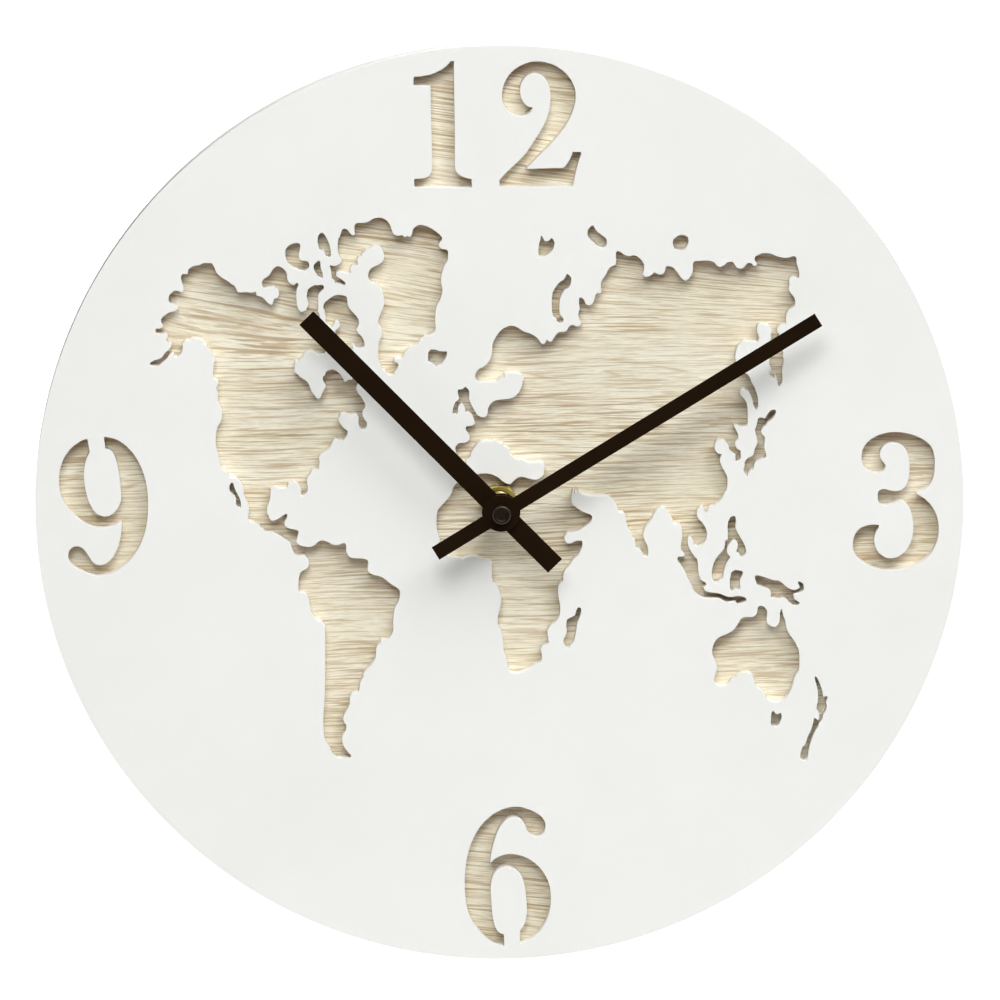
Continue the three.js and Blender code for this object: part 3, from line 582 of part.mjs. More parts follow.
// rectangle with its own radius at each corner, in the order low-left, low-right, high-right, high-left
function roundedRect(x0, x1, z0, z1, radii, steps = 5) {
  const pts = [];
  const corners = [[x0, z0, 1, 1, 180], [x1, z0, -1, 1, 270], [x1, z1, -1, -1, 0], [x0, z1, 1, -1, 90]];
  corners.forEach(([x, z, sx, sz, from], n) => {
    const r = radii[n];
    if (r === 0) { pts.push([x, z]); return; }
    for (let k = 0; k <= steps; k++) {
      const a = rad(from + (90 * k) / steps);
      pts.push([x + sx * r + r * Math.cos(a), z + sz * r + r * Math.sin(a)]);
    }
  });
  return pts;
}

// tooth outline of a wheel or pinion; phase is the direction of one tooth's middle, in radians
function gearOutline([teeth, module], slim, phase, at) {
  const rp = (module * teeth) / 2;
  const tip = rp + (slim ? 0.8 : 0.7) * module;
  const root = rp - 1.2 * module;
  const half = Math.PI / teeth;
  const [tipShare, rootShare] = slim ? [0.12, 0.5] : [0.22, 0.5];
  const pts = [];
  for (let k = 0; k < teeth; k++) {
    const c = phase + 2 * half * k;
    for (const [r, a] of [[root, -rootShare], [tip, -tipShare], [tip, tipShare], [root, rootShare]]) {
      pts.push([at[0] + r * Math.cos(c + a * half), at[1] + r * Math.sin(c + a * half)]);
    }
  }
  return pts;
}

const direction = (from, to) => Math.atan2(to[1] - from[1], to[0] - from[0]);
// phase that puts a tooth on the line to the partner, and one that puts a gap there
const toothTo = (from, to) => direction(from, to);
const gapTo = (from, to, gear) => direction(from, to) + Math.PI / gear[0];

function handOutline(halfW, hubR, length, tail, angle) {
  const a0 = Math.asin(halfW / hubR);
  const steps = 10;
  const local = [[halfW, length], [-halfW, length]];
  for (let k = 0; k <= steps; k++) {
    const a = a0 + ((Math.PI - 2 * a0) * k) / steps;
    local.push([-hubR * Math.sin(a), hubR * Math.cos(a)]);
  }
  local.push([-halfW, -tail], [halfW, -tail]);
  for (let k = 0; k <= steps; k++) {
    const a = Math.PI - a0 - ((Math.PI - 2 * a0) * k) / steps;
    local.push([hubR * Math.sin(a), hubR * Math.cos(a)]);
  }
  const s = Math.sin(rad(angle)), c = Math.cos(rad(angle));
  return local.map(([u, v]) => [u * c + v * s, -u * s + v * c]);
}

// ---------------------------------------------------------------- assembly
const clock = new THREE.Group();
const groups = {};
for (const name of ['dial', 'fixings', 'movement', 'motor', 'electronics', 'train', 'hands']) {
  groups[name] = new THREE.Group();
  clock.add(groups[name]);
}

function piece(group, name, geometry, color, roughness, metalness) {
  geometry.computeVertexNormals();
  const mesh = new THREE.Mesh(geometry, new THREE.MeshStandardMaterial({ color, roughness, metalness }));
  mesh.name = name;
  groups[group].add(mesh);
}

// dial: the white disc with the map and numerals cut through it, on the oak disc
const cutOuts = Object.values(CUT_OUTS).map((flat) => {
  const pts = [];
  for (let k = 0; k < flat.length; k += 2) pts.push([flat[k], flat[k + 1]]);
  return pts;
});
piece('dial', 'front_plate',
  prism(circle(DISC_R, DISC_SIDES), cutOuts, FRONT_DISC_FRONT, FRONT_DISC_REAR), 0xf3f4ef, 0.55, 0);
piece('dial', 'back_plate',
  prism(circle(BACK_DISC_R, DISC_SIDES), [circle(BUSH_HOLE_R, 24)], BACK_DISC_FRONT, BACK_DISC_REAR), 0xdfd6bf, 0.6, 0);

// fixings: what clamps the dial to the movement
piece('fixings', 'rubber_gasket',
  ring(4.5, 14, CASE_FRONT - 0.05 - GASKET_T, CASE_FRONT - 0.05, C, 36), 0x1c1c1c, 0.85, 0);
piece('fixings', 'dial_washer',
  ring(BUSH_HOLE_R, WASHER_R, BACK_DISC_FRONT - 0.1 - WASHER_T, BACK_DISC_FRONT - 0.1, C, 32), 0xc9a24a, 0.35, 1);
const nutRear = BACK_DISC_FRONT - 0.1 - WASHER_T - 0.1;
piece('fixings', 'hex_nut',
  prism(circle(NUT_APOTHEM / Math.cos(Math.PI / 6), 6), [circle(BUSH_HOLE_R, 24)], nutRear - NUT_T, nutRear), 0xc9a24a, 0.3, 1);
piece('fixings', 'threaded_bush', turned([
  [BUSH_BORE, BUSH_FRONT], [BUSH_R - 0.4, BUSH_FRONT], [BUSH_R, BUSH_FRONT + 0.4], [BUSH_R, -14.5], [5.2, -14.5],
  [5.2, -13.9], [BUSH_BORE, -13.9], [BUSH_BORE, BUSH_FRONT],
], 28), 0xc9a24a, 0.35, 1);

// movement case: a tray with the gear room above and the battery bay below, hanger loop on top
const POSTS = [[-22.5, 14.5], [-22.5, -12.5], [19.5, -12.6], [19.5, 14.5]];
const innerFront = CASE_FRONT + CASE_FRONT_WALL;      // -14.8
const innerHalf = CASE_HALF_W - CASE_WALL;            // 26.5
const slotOutline = (() => {
  const pts = [[-SLOT_HALF_W, SLOT_BOTTOM], [SLOT_HALF_W, SLOT_BOTTOM], [SLOT_HALF_W, SLOT_TOP]];
  const teeth = 6;
  const pitch = (2 * SLOT_HALF_W) / teeth;
  for (let k = 0; k < teeth; k++) {
    const x = SLOT_HALF_W - pitch * (k + 0.5);
    pts.push([x, SLOT_TOP - SLOT_TOOTH], [x - pitch / 2, SLOT_TOP]);
  }
  return pts;
})();
const hangerOutline = [
  [-HANGER_HALF_BASE, CASE_TOP - 1], [HANGER_HALF_BASE, CASE_TOP - 1], [HANGER_HALF_TOP + 0.6, HANGER_TOP - 2.5],
  [HANGER_HALF_TOP - 0.6, HANGER_TOP - 0.7], [HANGER_HALF_TOP - 2.6, HANGER_TOP],
  [-HANGER_HALF_TOP + 2.6, HANGER_TOP], [-HANGER_HALF_TOP + 0.6, HANGER_TOP - 0.7], [-HANGER_HALF_TOP - 0.6, HANGER_TOP - 2.5],
];
const r4 = [CASE_CORNER_R, CASE_CORNER_R, CASE_CORNER_R, CASE_CORNER_R];
piece('movement', 'movement_case', build([
  prism(roundedRect(-CASE_HALF_W, CASE_HALF_W, CASE_BOTTOM, CASE_TOP, r4), [], CASE_FRONT, CASE_REAR),
  prism(roundedRect(-CASE_HALF_W, CASE_HALF_W, CASE_BOTTOM, DIVIDER_BOTTOM - 0.3, [CASE_CORNER_R, CASE_CORNER_R, 0, 0]), [], CASE_REAR - 0.5, BAY_REAR),
  prism(hangerOutline, [slotOutline], HANGER_REAR - HANGER_T, HANGER_REAR),
], [
  prism(roundedRect(-innerHalf, innerHalf, DIVIDER_TOP, CASE_TOP - CASE_WALL, [0.4, 0.4, 1.6, 1.6], 3), [], innerFront, 1),
  prism(roundedRect(-innerHalf, innerHalf, CASE_BOTTOM + CASE_WALL, DIVIDER_BOTTOM, [1.6, 1.6, 0.4, 0.4], 3), [], innerFront, 1),
  rod(BUSH_HOLE_R, CASE_FRONT - 1, innerFront + 1, C, 24),
  rod(0.8, innerFront - PIVOT_DEPTH, innerFront + 1, T, 12),
  rod(0.8, innerFront - PIVOT_DEPTH, innerFront + 1, M, 12),
  rod(1.3, innerFront - PIVOT_DEPTH, innerFront + 1, K, 14),
  box(-innerHalf, -25.5, -10.3, 1, DIVIDER_BOTTOM - 0.2, DIVIDER_TOP + 0.2),
  box(25.5, innerHalf, -10.3, 1, DIVIDER_BOTTOM - 0.2, DIVIDER_TOP + 0.2),
]), 0x161616, 0.5, 0);
// four locating posts for the train bridge stand on the case floor
{
  const mesh = groups.movement.children[0];
  let s = toSolid(mesh.geometry);
  for (const at of POSTS) {
    s = s.add(toSolid(rod(1.8, innerFront - 0.3, BRIDGE_LAYER[0] - 0.3, at, 16)));
    s = s.add(toSolid(rod(1.0, innerFront, BRIDGE_LAYER[1] + 0.2, at, 12)));
  }
  mesh.geometry = fromSolid(s);
  mesh.geometry.computeVertexNormals();
}

// rear cover with a lip inside the case walls, a well for the setting knob and blind pivot seats
piece('movement', 'rear_cover', build([
  prism(roundedRect(-CASE_HALF_W, CASE_HALF_W, DIVIDER_BOTTOM, CASE_TOP, [0, 0, CASE_CORNER_R, CASE_CORNER_R]), [], -COVER_T, 0),
  prism(roundedRect(-26.1, 26.1, -16.6, 18.1, [0, 0, 1.4, 1.4], 3), [roundedRect(-25.1, 25.1, -15.6, 17.1, [0, 0, 0.6, 0.6], 3)], -3.0, -COVER_T + 0.3),
  rod(8.6, -3.6, -COVER_T + 0.3, K, 36),
], [
  rod(7.6, -2.7, 1, K, 36),
  rod(1.4, -4, 0, K, 14),
  ...[C, T, I, R].map((at) => rod(0.9, -COVER_T - 1, -0.7, at, 12)),
]), 0x1a1a1a, 0.5, 0);

// train bridge: the plate between the two halves of the train
const STATOR_POSTS = [[-2.2, -14.9], [6.6, -14.6]];
const BOARD_POSTS = [[-23.2, 2.4], [-20, -13.4]];
piece('movement', 'train_bridge', build([
  prism(roundedRect(-24.5, 21.5, -15.8, 16.5, [1, 1, 1, 1], 2), [
    circle(1.0, 14, C), circle(2.2, 16, T), circle(1.5, 14, K), circle(0.8, 12, M), circle(0.8, 12, I), circle(0.7, 12, R),
    ...POSTS.map((at) => circle(1.3, 12, at)),
  ], BRIDGE_LAYER[0], BRIDGE_LAYER[1]),
  ...STATOR_POSTS.map((at) => rod(0.8, BRIDGE_LAYER[0] + 0.2, STATOR_LAYER[0] - 0.3, at, 12)),
  ...BOARD_POSTS.map((at) => rod(0.9, BRIDGE_LAYER[0] + 0.2, -4.7, at, 12)),
]), 0xe8e4d8, 0.5, 0);

// wheel, pinion and arbor in one moulding
function wheelSet(wheel, wheelLayer, wheelPhase, pinion, pinionLayer, pinionPhase, arborR, arborLayer, at) {
  const parts = [prism(gearOutline(wheel, false, wheelPhase, at), [], wheelLayer[0], wheelLayer[1])];
  if (pinion) parts.push(prism(gearOutline(pinion, true, pinionPhase, at), [], pinionLayer[0], pinionLayer[1]));
  parts.push(rod(arborR, arborLayer[0], arborLayer[1], at, 12));
  return build(parts);
}
const white = [0xf0eee6, 0.45, 0];

// motion work: cannon pinion on the minute arbor, motion wheel, hour wheel on its pipe
piece('train', 'minute_arbor', build([
  turned([[0.9, MINUTE_REAR - 2.4], [1.5, MINUTE_REAR - 2.4], [1.7, MINUTE_REAR - 2.2], [1.7, -11.1], [1.5, -11.1], [1.5, -9.9], [0.9, -9.9], [0.9, MINUTE_REAR - 2.4]], 20),
  prism(gearOutline(CANNON_PINION, true, toothTo(C, M), C), [circle(1.2, 16)], MOTION_LAYER[0], MOTION_LAYER[1]),
]), 0xc9a24a, 0.35, 1);
piece('train', 'motion_wheel', wheelSet(
  MOTION_WHEEL, MOTION_LAYER, gapTo(M, C, MOTION_WHEEL),
  MOTION_PINION, [HOUR_LAYER[0], MOTION_LAYER[0] + 0.1], toothTo(M, C), 0.5, [innerFront - 0.4, BRIDGE_LAYER[0] + 0.5], M), ...white);
piece('train', 'hour_wheel', build([
  prism(gearOutline(HOUR_WHEEL, false, gapTo(C, M, HOUR_WHEEL), C), [circle(2.25, 20)], HOUR_LAYER[0], HOUR_LAYER[1]),
  ring(2.0, 2.5, HOUR_REAR - 1.1, HOUR_LAYER[1], C, 20),
]), 0xe9c34a, 0.45, 0);

// setting knob: knurled disc, arbor and pinion in mesh with the motion wheel. The
// motion wheel's teeth are 10 degrees apart, and its nearest gap to the knob sets the phase
const motionToKnob = direction(M, K) - gapTo(M, C, MOTION_WHEEL);
const motionPitch = (2 * Math.PI) / MOTION_WHEEL[0];
const lead = motionToKnob - Math.round(motionToKnob / motionPitch) * motionPitch;
const knobPhase = direction(K, M) + (lead * MOTION_WHEEL[0]) / KNOB_PINION[0] + Math.PI / KNOB_PINION[0];
const knurl = [];
for (let k = 0; k < 30; k++) {
  for (const [r, a] of [[5.55, -0.36], [6.0, -0.16], [6.0, 0.16], [5.55, 0.36]]) {
    const t = (2 * Math.PI * (k + a)) / 30;
    knurl.push([K[0] + r * Math.cos(t), K[1] + r * Math.sin(t)]);
  }
}
piece('train', 'setting_knob', build([
  prism(knurl, [], -2.4, -0.3),
  rod(1.0, innerFront - 0.4, -2.2, K, 14),
  prism(gearOutline(KNOB_PINION, true, knobPhase, K), [], MOTION_LAYER[0], MOTION_LAYER[1]),
], [
  box(K[0] - 4.2, K[0] + 4.2, -1.1, 0, K[1] - 0.7, K[1] + 0.7),
]), 0xf0eee6, 0.5, 0);

// going train: motor pinion, intermediate, second, third, centre
piece('train', 'centre_gear',
  prism(gearOutline(CENTRE_GEAR, false, gapTo(C, T, CENTRE_GEAR), C), [circle(1.8, 20)], CENTRE_LAYER[0], CENTRE_LAYER[1]), ...white);
piece('train', 'third_wheel', wheelSet(
  THIRD_WHEEL, THIRD_LAYER, gapTo(T, C, THIRD_WHEEL),
  THIRD_PINION, [CENTRE_LAYER[0] - 0.1, THIRD_LAYER[0] + 0.1], toothTo(T, C), 0.5, [innerFront - 0.4, -1.1], T), ...white);
piece('train', 'second_wheel', wheelSet(
  SECOND_WHEEL, SECOND_LAYER, gapTo(C, I, SECOND_WHEEL),
  SECOND_PINION, [THIRD_LAYER[0] - 0.1, SECOND_LAYER[0] + 0.1], toothTo(C, T), 0.5, [MINUTE_REAR - 1.7, -1.1], C), ...white);
piece('train', 'intermediate_wheel', wheelSet(
  INTERMEDIATE_WHEEL, INTERMEDIATE_LAYER, gapTo(I, R, INTERMEDIATE_WHEEL),
  INTERMEDIATE_PINION, [SECOND_LAYER[0] - 0.1, INTERMEDIATE_LAYER[0] + 0.1], toothTo(I, C), 0.45, [BRIDGE_LAYER[0] + 0.3, -1.1], I), ...white);
piece('motor', 'rotor_pinion', build([
  prism(gearOutline(ROTOR_PINION, true, toothTo(R, I), R), [], INTERMEDIATE_LAYER[0] - 0.1, MAGNET_LAYER[0] - 0.1),
  rod(0.4, BRIDGE_LAYER[0] + 0.3, -1.1, R, 12),
]), ...white);

// stepper motor
piece('motor', 'rotor_magnet', ring(0.7, 3.0, MAGNET_LAYER[0], MAGNET_LAYER[1], R, 24), 0x3a3a3e, 0.5, 0.6);
piece('motor', 'stator', prism([
  [-4.5, -15.6], [7.6, -15.6], [7.6, -7.4], [24.3, -7.4], [24.3, -14], [25.8, -14], [25.8, -5], [-4.5, -5],
], [circle(3.5, 24, R)], STATOR_LAYER[0], STATOR_LAYER[1]), 0x9a9ca0, 0.35, 1);
const COIL_Y = -4.65, COIL_Z = -12.5;
piece('motor', 'coil_core', box(5.0, 25.6, COIL_Y - 0.35, COIL_Y + 0.35, COIL_Z - 1.0, COIL_Z + 1.0), 0x8a8c90, 0.4, 1);
piece('motor', 'coil_bobbin', build([
  turnedX([[0, 8.4], [2.7, 8.4], [2.7, 9.2], [1.9, 9.2], [1.9, 23.0], [2.7, 23.0], [2.7, 23.8], [0, 23.8]], 20, COIL_Y, COIL_Z),
], [box(8, 24.2, COIL_Y - 0.65, COIL_Y + 0.65, COIL_Z - 1.3, COIL_Z + 1.3)]), 0x2a5a3a, 0.5, 0);
piece('motor', 'coil_winding', turnedX([
  [2.1, 9.4], [2.6, 9.4], [2.6, 22.8], [2.1, 22.8], [2.1, 9.4],
], 20, COIL_Y, COIL_Z), 0xb8642e, 0.4, 0.8);

// electronics
piece('electronics', 'circuit_board', box(-25.6, -12.6, -4.4, -3.6, -15.8, 4.2), 0x1f5a34, 0.6, 0);
piece('electronics', 'control_chip', turned([[0, -3.4], [2.4, -3.4], [2.2, -2.8], [1.5, -2.35], [0, -2.2]], 20, [-19, -5]), 0x0d0d0d, 0.5, 0);
piece('electronics', 'quartz_crystal', (() => {
  const g = new THREE.LatheGeometry(vec2([[0, -1], [0.55, -1], [0.75, -0.7], [0.75, 4.0], [0, 4.0]]), 14);
  g.rotateX(Math.PI / 2);
  g.scale(1, 1, -1);
  g.translate(-15.2, -2.75, 3.2);
  return clean(g);
})(), 0xc8cace, 0.25, 1);

// battery contacts: thin bent strips at the ends of the bay, led up to the circuit board
piece('electronics', 'negative_contact', build([
  box(-26.2, -25.8, -10, -5, -33, -12),
  prism([[-26.2, -31.5], [-25.8, -31.5], [-24.5, -26.5], [-25.8, -21.5], [-26.2, -21.5], [-24.95, -26.5]], [], -10, -5),
]), 0xb9bcc0, 0.3, 1);
piece('electronics', 'positive_contact', build([
  box(25.8, 26.2, -10, -5, -33, -16.4),
  box(-13, 26.2, -8, -5, -16.8, -16.4),
]), 0xb9bcc0, 0.3, 1);
piece('electronics', 'aa_battery', turnedX([
  [0, -CELL_HALF_L], [CELL_R - 0.7, -CELL_HALF_L], [CELL_R, -CELL_HALF_L + 0.7], [CELL_R, CELL_HALF_L - 0.7],
  [CELL_R - 0.7, CELL_HALF_L], [CELL_NUB_R, CELL_HALF_L], [CELL_NUB_R, CELL_NUB_END - 0.2], [CELL_NUB_R - 0.2, CELL_NUB_END], [0, CELL_NUB_END],
], 28, CELL_Y, CELL_Z), 0x2b2b2b, 0.35, 0.3);

// hands
piece('hands', 'hour_hand', prism(
  handOutline(HOUR_HALF_W, HOUR_HUB_R, HOUR_LENGTH, HOUR_TAIL, HOUR_ANGLE), [circle(2.8, 24)], HOUR_REAR - HAND_T, HOUR_REAR), 0x21160c, 0.5, 0.2);
piece('hands', 'hour_hand_collet', ring(2.8, 3.8, HOUR_REAR + 0.05, HOUR_REAR + 3.2, C, 24), 0x21160c, 0.4, 0.6);
piece('hands', 'minute_hand', prism(
  handOutline(MINUTE_HALF_W, MINUTE_HUB_R, MINUTE_LENGTH, MINUTE_TAIL, MINUTE_ANGLE), [circle(2.0, 24)], MINUTE_REAR - HAND_T, MINUTE_REAR), 0x21160c, 0.5, 0.2);
piece('hands', 'minute_hand_collet', ring(2.0, 3.4, MINUTE_REAR + 0.05, MINUTE_REAR + 0.9, C, 24), 0x21160c, 0.4, 0.6);
piece('hands', 'centre_cap', turned([
  [0, CAP_FRONT + 0.35], [1.9, CAP_FRONT + 0.35], [2.25, CAP_FRONT], [2.55, CAP_FRONT], [CAP_R, CAP_FRONT + 0.35],
  [CAP_R, MINUTE_REAR - HAND_T - 0.1], [2.0, MINUTE_REAR - HAND_T - 0.1], [2.0, MINUTE_REAR - 3], [0, MINUTE_REAR - 3],
], 32), 0x2a241e, 0.35, 0.5);

export default clock;
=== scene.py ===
"""World map wall clock: looks. Metres, the same frame as the solid model (+Z up, dial faces -Y)."""

import math

import bmesh
import bpy
from mathutils import Matrix, Vector


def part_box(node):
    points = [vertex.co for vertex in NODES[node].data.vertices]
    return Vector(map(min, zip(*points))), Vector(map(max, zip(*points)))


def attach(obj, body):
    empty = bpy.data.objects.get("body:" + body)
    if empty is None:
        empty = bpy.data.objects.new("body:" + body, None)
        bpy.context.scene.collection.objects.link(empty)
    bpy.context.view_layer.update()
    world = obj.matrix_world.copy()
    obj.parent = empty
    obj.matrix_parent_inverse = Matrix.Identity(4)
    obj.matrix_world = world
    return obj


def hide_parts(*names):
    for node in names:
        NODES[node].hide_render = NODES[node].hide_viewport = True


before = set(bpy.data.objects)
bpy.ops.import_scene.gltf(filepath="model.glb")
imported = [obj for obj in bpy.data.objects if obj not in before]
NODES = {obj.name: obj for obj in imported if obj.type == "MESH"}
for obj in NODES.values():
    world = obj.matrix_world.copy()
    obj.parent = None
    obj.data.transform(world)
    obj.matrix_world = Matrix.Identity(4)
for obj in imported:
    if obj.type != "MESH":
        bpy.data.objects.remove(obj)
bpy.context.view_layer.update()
MM = 0.001


# ------------------------------------------------------------------ node helpers
def lin(r, g, b):
    """8-bit sRGB to a linear colour."""
    out = []
    for c in (r, g, b):
        c /= 255.0
        out.append(c / 12.92 if c <= 0.04045 else ((c + 0.055) / 1.055) ** 2.4)
    return (*out, 1.0)


def new_material(name):
    m = bpy.data.materials.new(name)
    m.use_nodes = True
    return m, m.node_tree, m.node_tree.nodes["Principled BSDF"]


def put(nt, kind, inputs=None, **props):
    n = nt.nodes.new(kind)
    for k, v in props.items():
        setattr(n, k, v)
    for k, v in (inputs or {}).items():
        if isinstance(v, bpy.types.NodeSocket):
            nt.links.new(v, n.inputs[k])
        else:
            n.inputs[k].default_value = v
    return n


def math_node(nt, op, a, b=0.0, c=None, clamp=False):
    n = put(nt, "ShaderNodeMath", {0: a, 1: b}, operation=op, use_clamp=clamp)
    if c is not None:
        if isinstance(c, bpy.types.NodeSocket):
            nt.links.new(c, n.inputs[2])
        else:
            n.inputs[2].default_value = c
    return n.outputs[0]


def object_xyz(nt):
    tc = put(nt, "ShaderNodeTexCoord")
    s = put(nt, "ShaderNodeSeparateXYZ", {0: tc.outputs["Object"]})
    return tc.outputs["Object"], s.outputs[0], s.outputs[1], s.outputs[2]


def noise(nt, vector, scale, detail=2.0, rough=0.5, distortion=0.0):
    n = put(nt, "ShaderNodeTexNoise", {"Vector": vector, "Scale": scale, "Detail": detail,
                                       "Roughness": rough, "Distortion": distortion})
    return n.outputs[0]


def ramp(nt, fac, stops, interpolation="LINEAR"):
    n = put(nt, "ShaderNodeValToRGB", {"Fac": fac})
    r = n.color_ramp
    r.interpolation = interpolation
    while len(r.elements) < len(stops):
        r.elements.new(0.5)
    for e, (p, c) in zip(r.elements, stops):
        e.position = p
        e.color = c if len(c) == 4 else (*c, 1.0)
    return n.outputs[0]


def remap(nt, v, a, b, c, d):
    return put(nt, "ShaderNodeMapRange", {"Value": v, "From Min": a, "From Max": b, "To Min": c, "To Max": d}).outputs[0]


def smooth_remap(nt, v, a, b, c, d):
    return put(nt, "ShaderNodeMapRange", {"Value": v, "From Min": a, "From Max": b, "To Min": c, "To Max": d},
               interpolation_type="SMOOTHSTEP").outputs[0]


def mix(nt, fac, a, b, blend="MIX"):
    n = put(nt, "ShaderNodeMix", data_type="RGBA", blend_type=blend)
    for idx, v in ((0, fac), (6, a), (7, b)):
        if isinstance(v, bpy.types.NodeSocket):
            nt.links.new(v, n.inputs[idx])
        else:
            n.inputs[idx].default_value = v
    return n.outputs[2]


def bump(nt, bsdf, height, strength, distance):
    n = put(nt, "ShaderNodeBump", {"Height": height, "Strength": strength, "Distance": distance})
    nt.links.new(n.outputs[0], bsdf.inputs["Normal"])


# ------------------------------------------------------------------ materials
def white_lacquer():
    m, nt, b = new_material("white_lacquer")
    co, x, y, z = object_xyz(nt)
    broad = noise(nt, co, 22.0, 3.0, 0.55)
    fine = noise(nt, co, 900.0, 3.0, 0.6)
    col = ramp(nt, broad, [(0.3, (0.880, 0.888, 0.855)), (0.7, (0.905, 0.910, 0.880))])
    # painted shade: deeper into each cut-out the walls turn from white toward brown, which darkens and warms the
    # shadows the walls cast on the oak
    depth = math_node(nt, "MULTIPLY_ADD", math_node(nt, "SUBTRACT", fine, 0.5), 0.0012, y)
    painted_wall_shade = smooth_remap(nt, depth, -0.0240, -0.0208, 0.0, 1.0)
    reach = math_node(nt, "SQRT", math_node(nt, "MULTIPLY_ADD", x, x, math_node(nt, "MULTIPLY", z, z)))
    painted_wall_shade = math_node(nt, "MULTIPLY", painted_wall_shade, math_node(nt, "LESS_THAN", reach, 0.1485))
    # painted shade: walls that face down take nearly all of that brown and walls that face up almost none, as the light
    # falls from above
    facing = put(nt, "ShaderNodeSeparateXYZ", {0: put(nt, "ShaderNodeTexCoord").outputs["Normal"]}).outputs[2]
    painted_wall_shade = math_node(nt, "MULTIPLY", painted_wall_shade, remap(nt, facing, 1.0, -0.9, 0.06, 1.0))
    # painted shade: the brown is mixed into the cut-out walls here
    col = mix(nt, painted_wall_shade, col, (0.42, 0.28, 0.13, 1.0))
    # painted shade: walls that face down turn a deeper, redder brown next to the oak, darkening the shadow under each
    # upper cut edge
    painted_under_shade = math_node(nt, "MULTIPLY", smooth_remap(nt, facing, -0.15, -0.85, 0.0, 1.0), smooth_remap(nt, depth, -0.0249, -0.0232, 0.0, 1.0))
    painted_under_shade = math_node(nt, "MULTIPLY", painted_under_shade, math_node(nt, "LESS_THAN", reach, 0.1485))
    col = mix(nt, painted_under_shade, col, (0.44, 0.22, 0.05, 1.0))
    nt.links.new(col, b.inputs["Base Color"])
    nt.links.new(remap(nt, fine, 0.3, 0.7, 0.42, 0.56), b.inputs["Roughness"])
    b.inputs["Specular IOR Level"].default_value = 0.35
    bump(nt, b, math_node(nt, "ADD", fine, math_node(nt, "MULTIPLY", broad, 0.6)), 0.10, 0.00012)
    return m


def oak():
    m, nt, b = new_material("pale_oak")
    co, x, y, z = object_xyz(nt)
    # the grain runs level across the middle and falls to the right near the top and the bottom
    fall = math_node(nt, "ADD", smooth_remap(nt, z, 0.040, 0.075, 0.0, 0.150), smooth_remap(nt, z, -0.085, -0.115, 0.0, 0.125))
    wander_at = put(nt, "ShaderNodeCombineXYZ", {0: math_node(nt, "MULTIPLY", x, 8.0), 1: 3.7, 2: math_node(nt, "MULTIPLY", z, 18.0)}).outputs[0]
    wander = noise(nt, wander_at, 1.0, 2.0, 0.5)
    zw = math_node(nt, "MULTIPLY_ADD", fall, x, z)
    zw = math_node(nt, "MULTIPLY_ADD", math_node(nt, "SUBTRACT", wander, 0.5), 0.0080, zw)

    def stretched(sx, sz, seed, detail, rough, distortion=0.0):
        v = put(nt, "ShaderNodeCombineXYZ", {0: math_node(nt, "MULTIPLY", x, sx), 1: seed, 2: math_node(nt, "MULTIPLY", zw, sz)}).outputs[0]
        return noise(nt, v, 1.0, detail, rough, distortion)

    # ground colour: pale cream with faint wide bands
    band = stretched(6.0, 90.0, 1.9, 2.0, 0.5)
    fibre = stretched(330.0, 3200.0, 4.4, 2.0, 0.6)
    v = math_node(nt, "MULTIPLY_ADD", math_node(nt, "SUBTRACT", band, 0.5), 0.55, 0.50)
    v = math_node(nt, "MULTIPLY_ADD", math_node(nt, "SUBTRACT", fibre, 0.5), 0.95, v)
    col = ramp(nt, v, [(0.15, lin(222, 212, 182)), (0.5, lin(240, 234, 213)), (0.85, lin(249, 246, 233))])
    # tan and olive drifts along the grain
    tint = stretched(20.0, 260.0, 21.0, 3.0, 0.55)
    col = mix(nt, remap(nt, tint, 0.54, 0.74, 0.0, 0.42), col, lin(214, 189, 148))
    olive = stretched(24.0, 330.0, 33.0, 3.0, 0.55)
    col = mix(nt, remap(nt, olive, 0.55, 0.76, 0.0, 0.36), col, lin(202, 192, 150))
    # growth lines: long thin contours of a slow field, wider where the field is flat
    grow = stretched(3.2, 74.0, 51.0, 1.0, 0.4)
    tri = math_node(nt, "PINGPONG", math_node(nt, "MULTIPLY", grow, 17.0), 0.5)
    break_up = remap(nt, stretched(22.0, 420.0, 63.0, 2.0, 0.5), 0.38, 0.58, 0.0, 1.0)
    contour = math_node(nt, "MULTIPLY", remap(nt, tri, 0.0, 0.11, 1.0, 0.0), break_up)
    # dashes: thin broken lines, close together in some places and sparse in others
    crowd = remap(nt, stretched(14.0, 70.0, 9.2, 2.0, 0.5), 0.32, 0.68, 0.50, 0.98)
    thin = stretched(105.0, 2500.0, 12.9, 2.0, 0.55)
    long_ = stretched(34.0, 1500.0, 7.1, 1.0, 0.5)
    dash = math_node(nt, "MULTIPLY", remap(nt, thin, 0.52, 0.63, 0.0, 1.0), crowd)
    line = math_node(nt, "MULTIPLY", remap(nt, long_, 0.565, 0.615, 0.0, 1.0), crowd)
    short = stretched(64.0, 1750.0, 77.0, 1.0, 0.5)
    pore = math_node(nt, "MULTIPLY", remap(nt, short, 0.575, 0.620, 0.0, 1.0), crowd)
    col = mix(nt, math_node(nt, "MULTIPLY", dash, 0.45), col, lin(180, 156, 113))
    col = mix(nt, math_node(nt, "MULTIPLY", pore, 0.60), col, lin(178, 150, 108))
    col = mix(nt, math_node(nt, "MULTIPLY", contour, 0.50), col, lin(182, 152, 104))
    col = mix(nt, math_node(nt, "MULTIPLY", line, 0.74), col, lin(170, 140, 97))
    nt.links.new(col, b.inputs["Base Color"])
    nt.links.new(remap(nt, fibre, 0.3, 0.7, 0.52, 0.70), b.inputs["Roughness"])
    b.inputs["Specular IOR Level"].default_value = 0.25
    h = math_node(nt, "MULTIPLY_ADD", dash, -0.8, math_node(nt, "MULTIPLY_ADD", line, -0.8, fibre))
    bump(nt, b, h, 0.22, 0.00012)
    return m


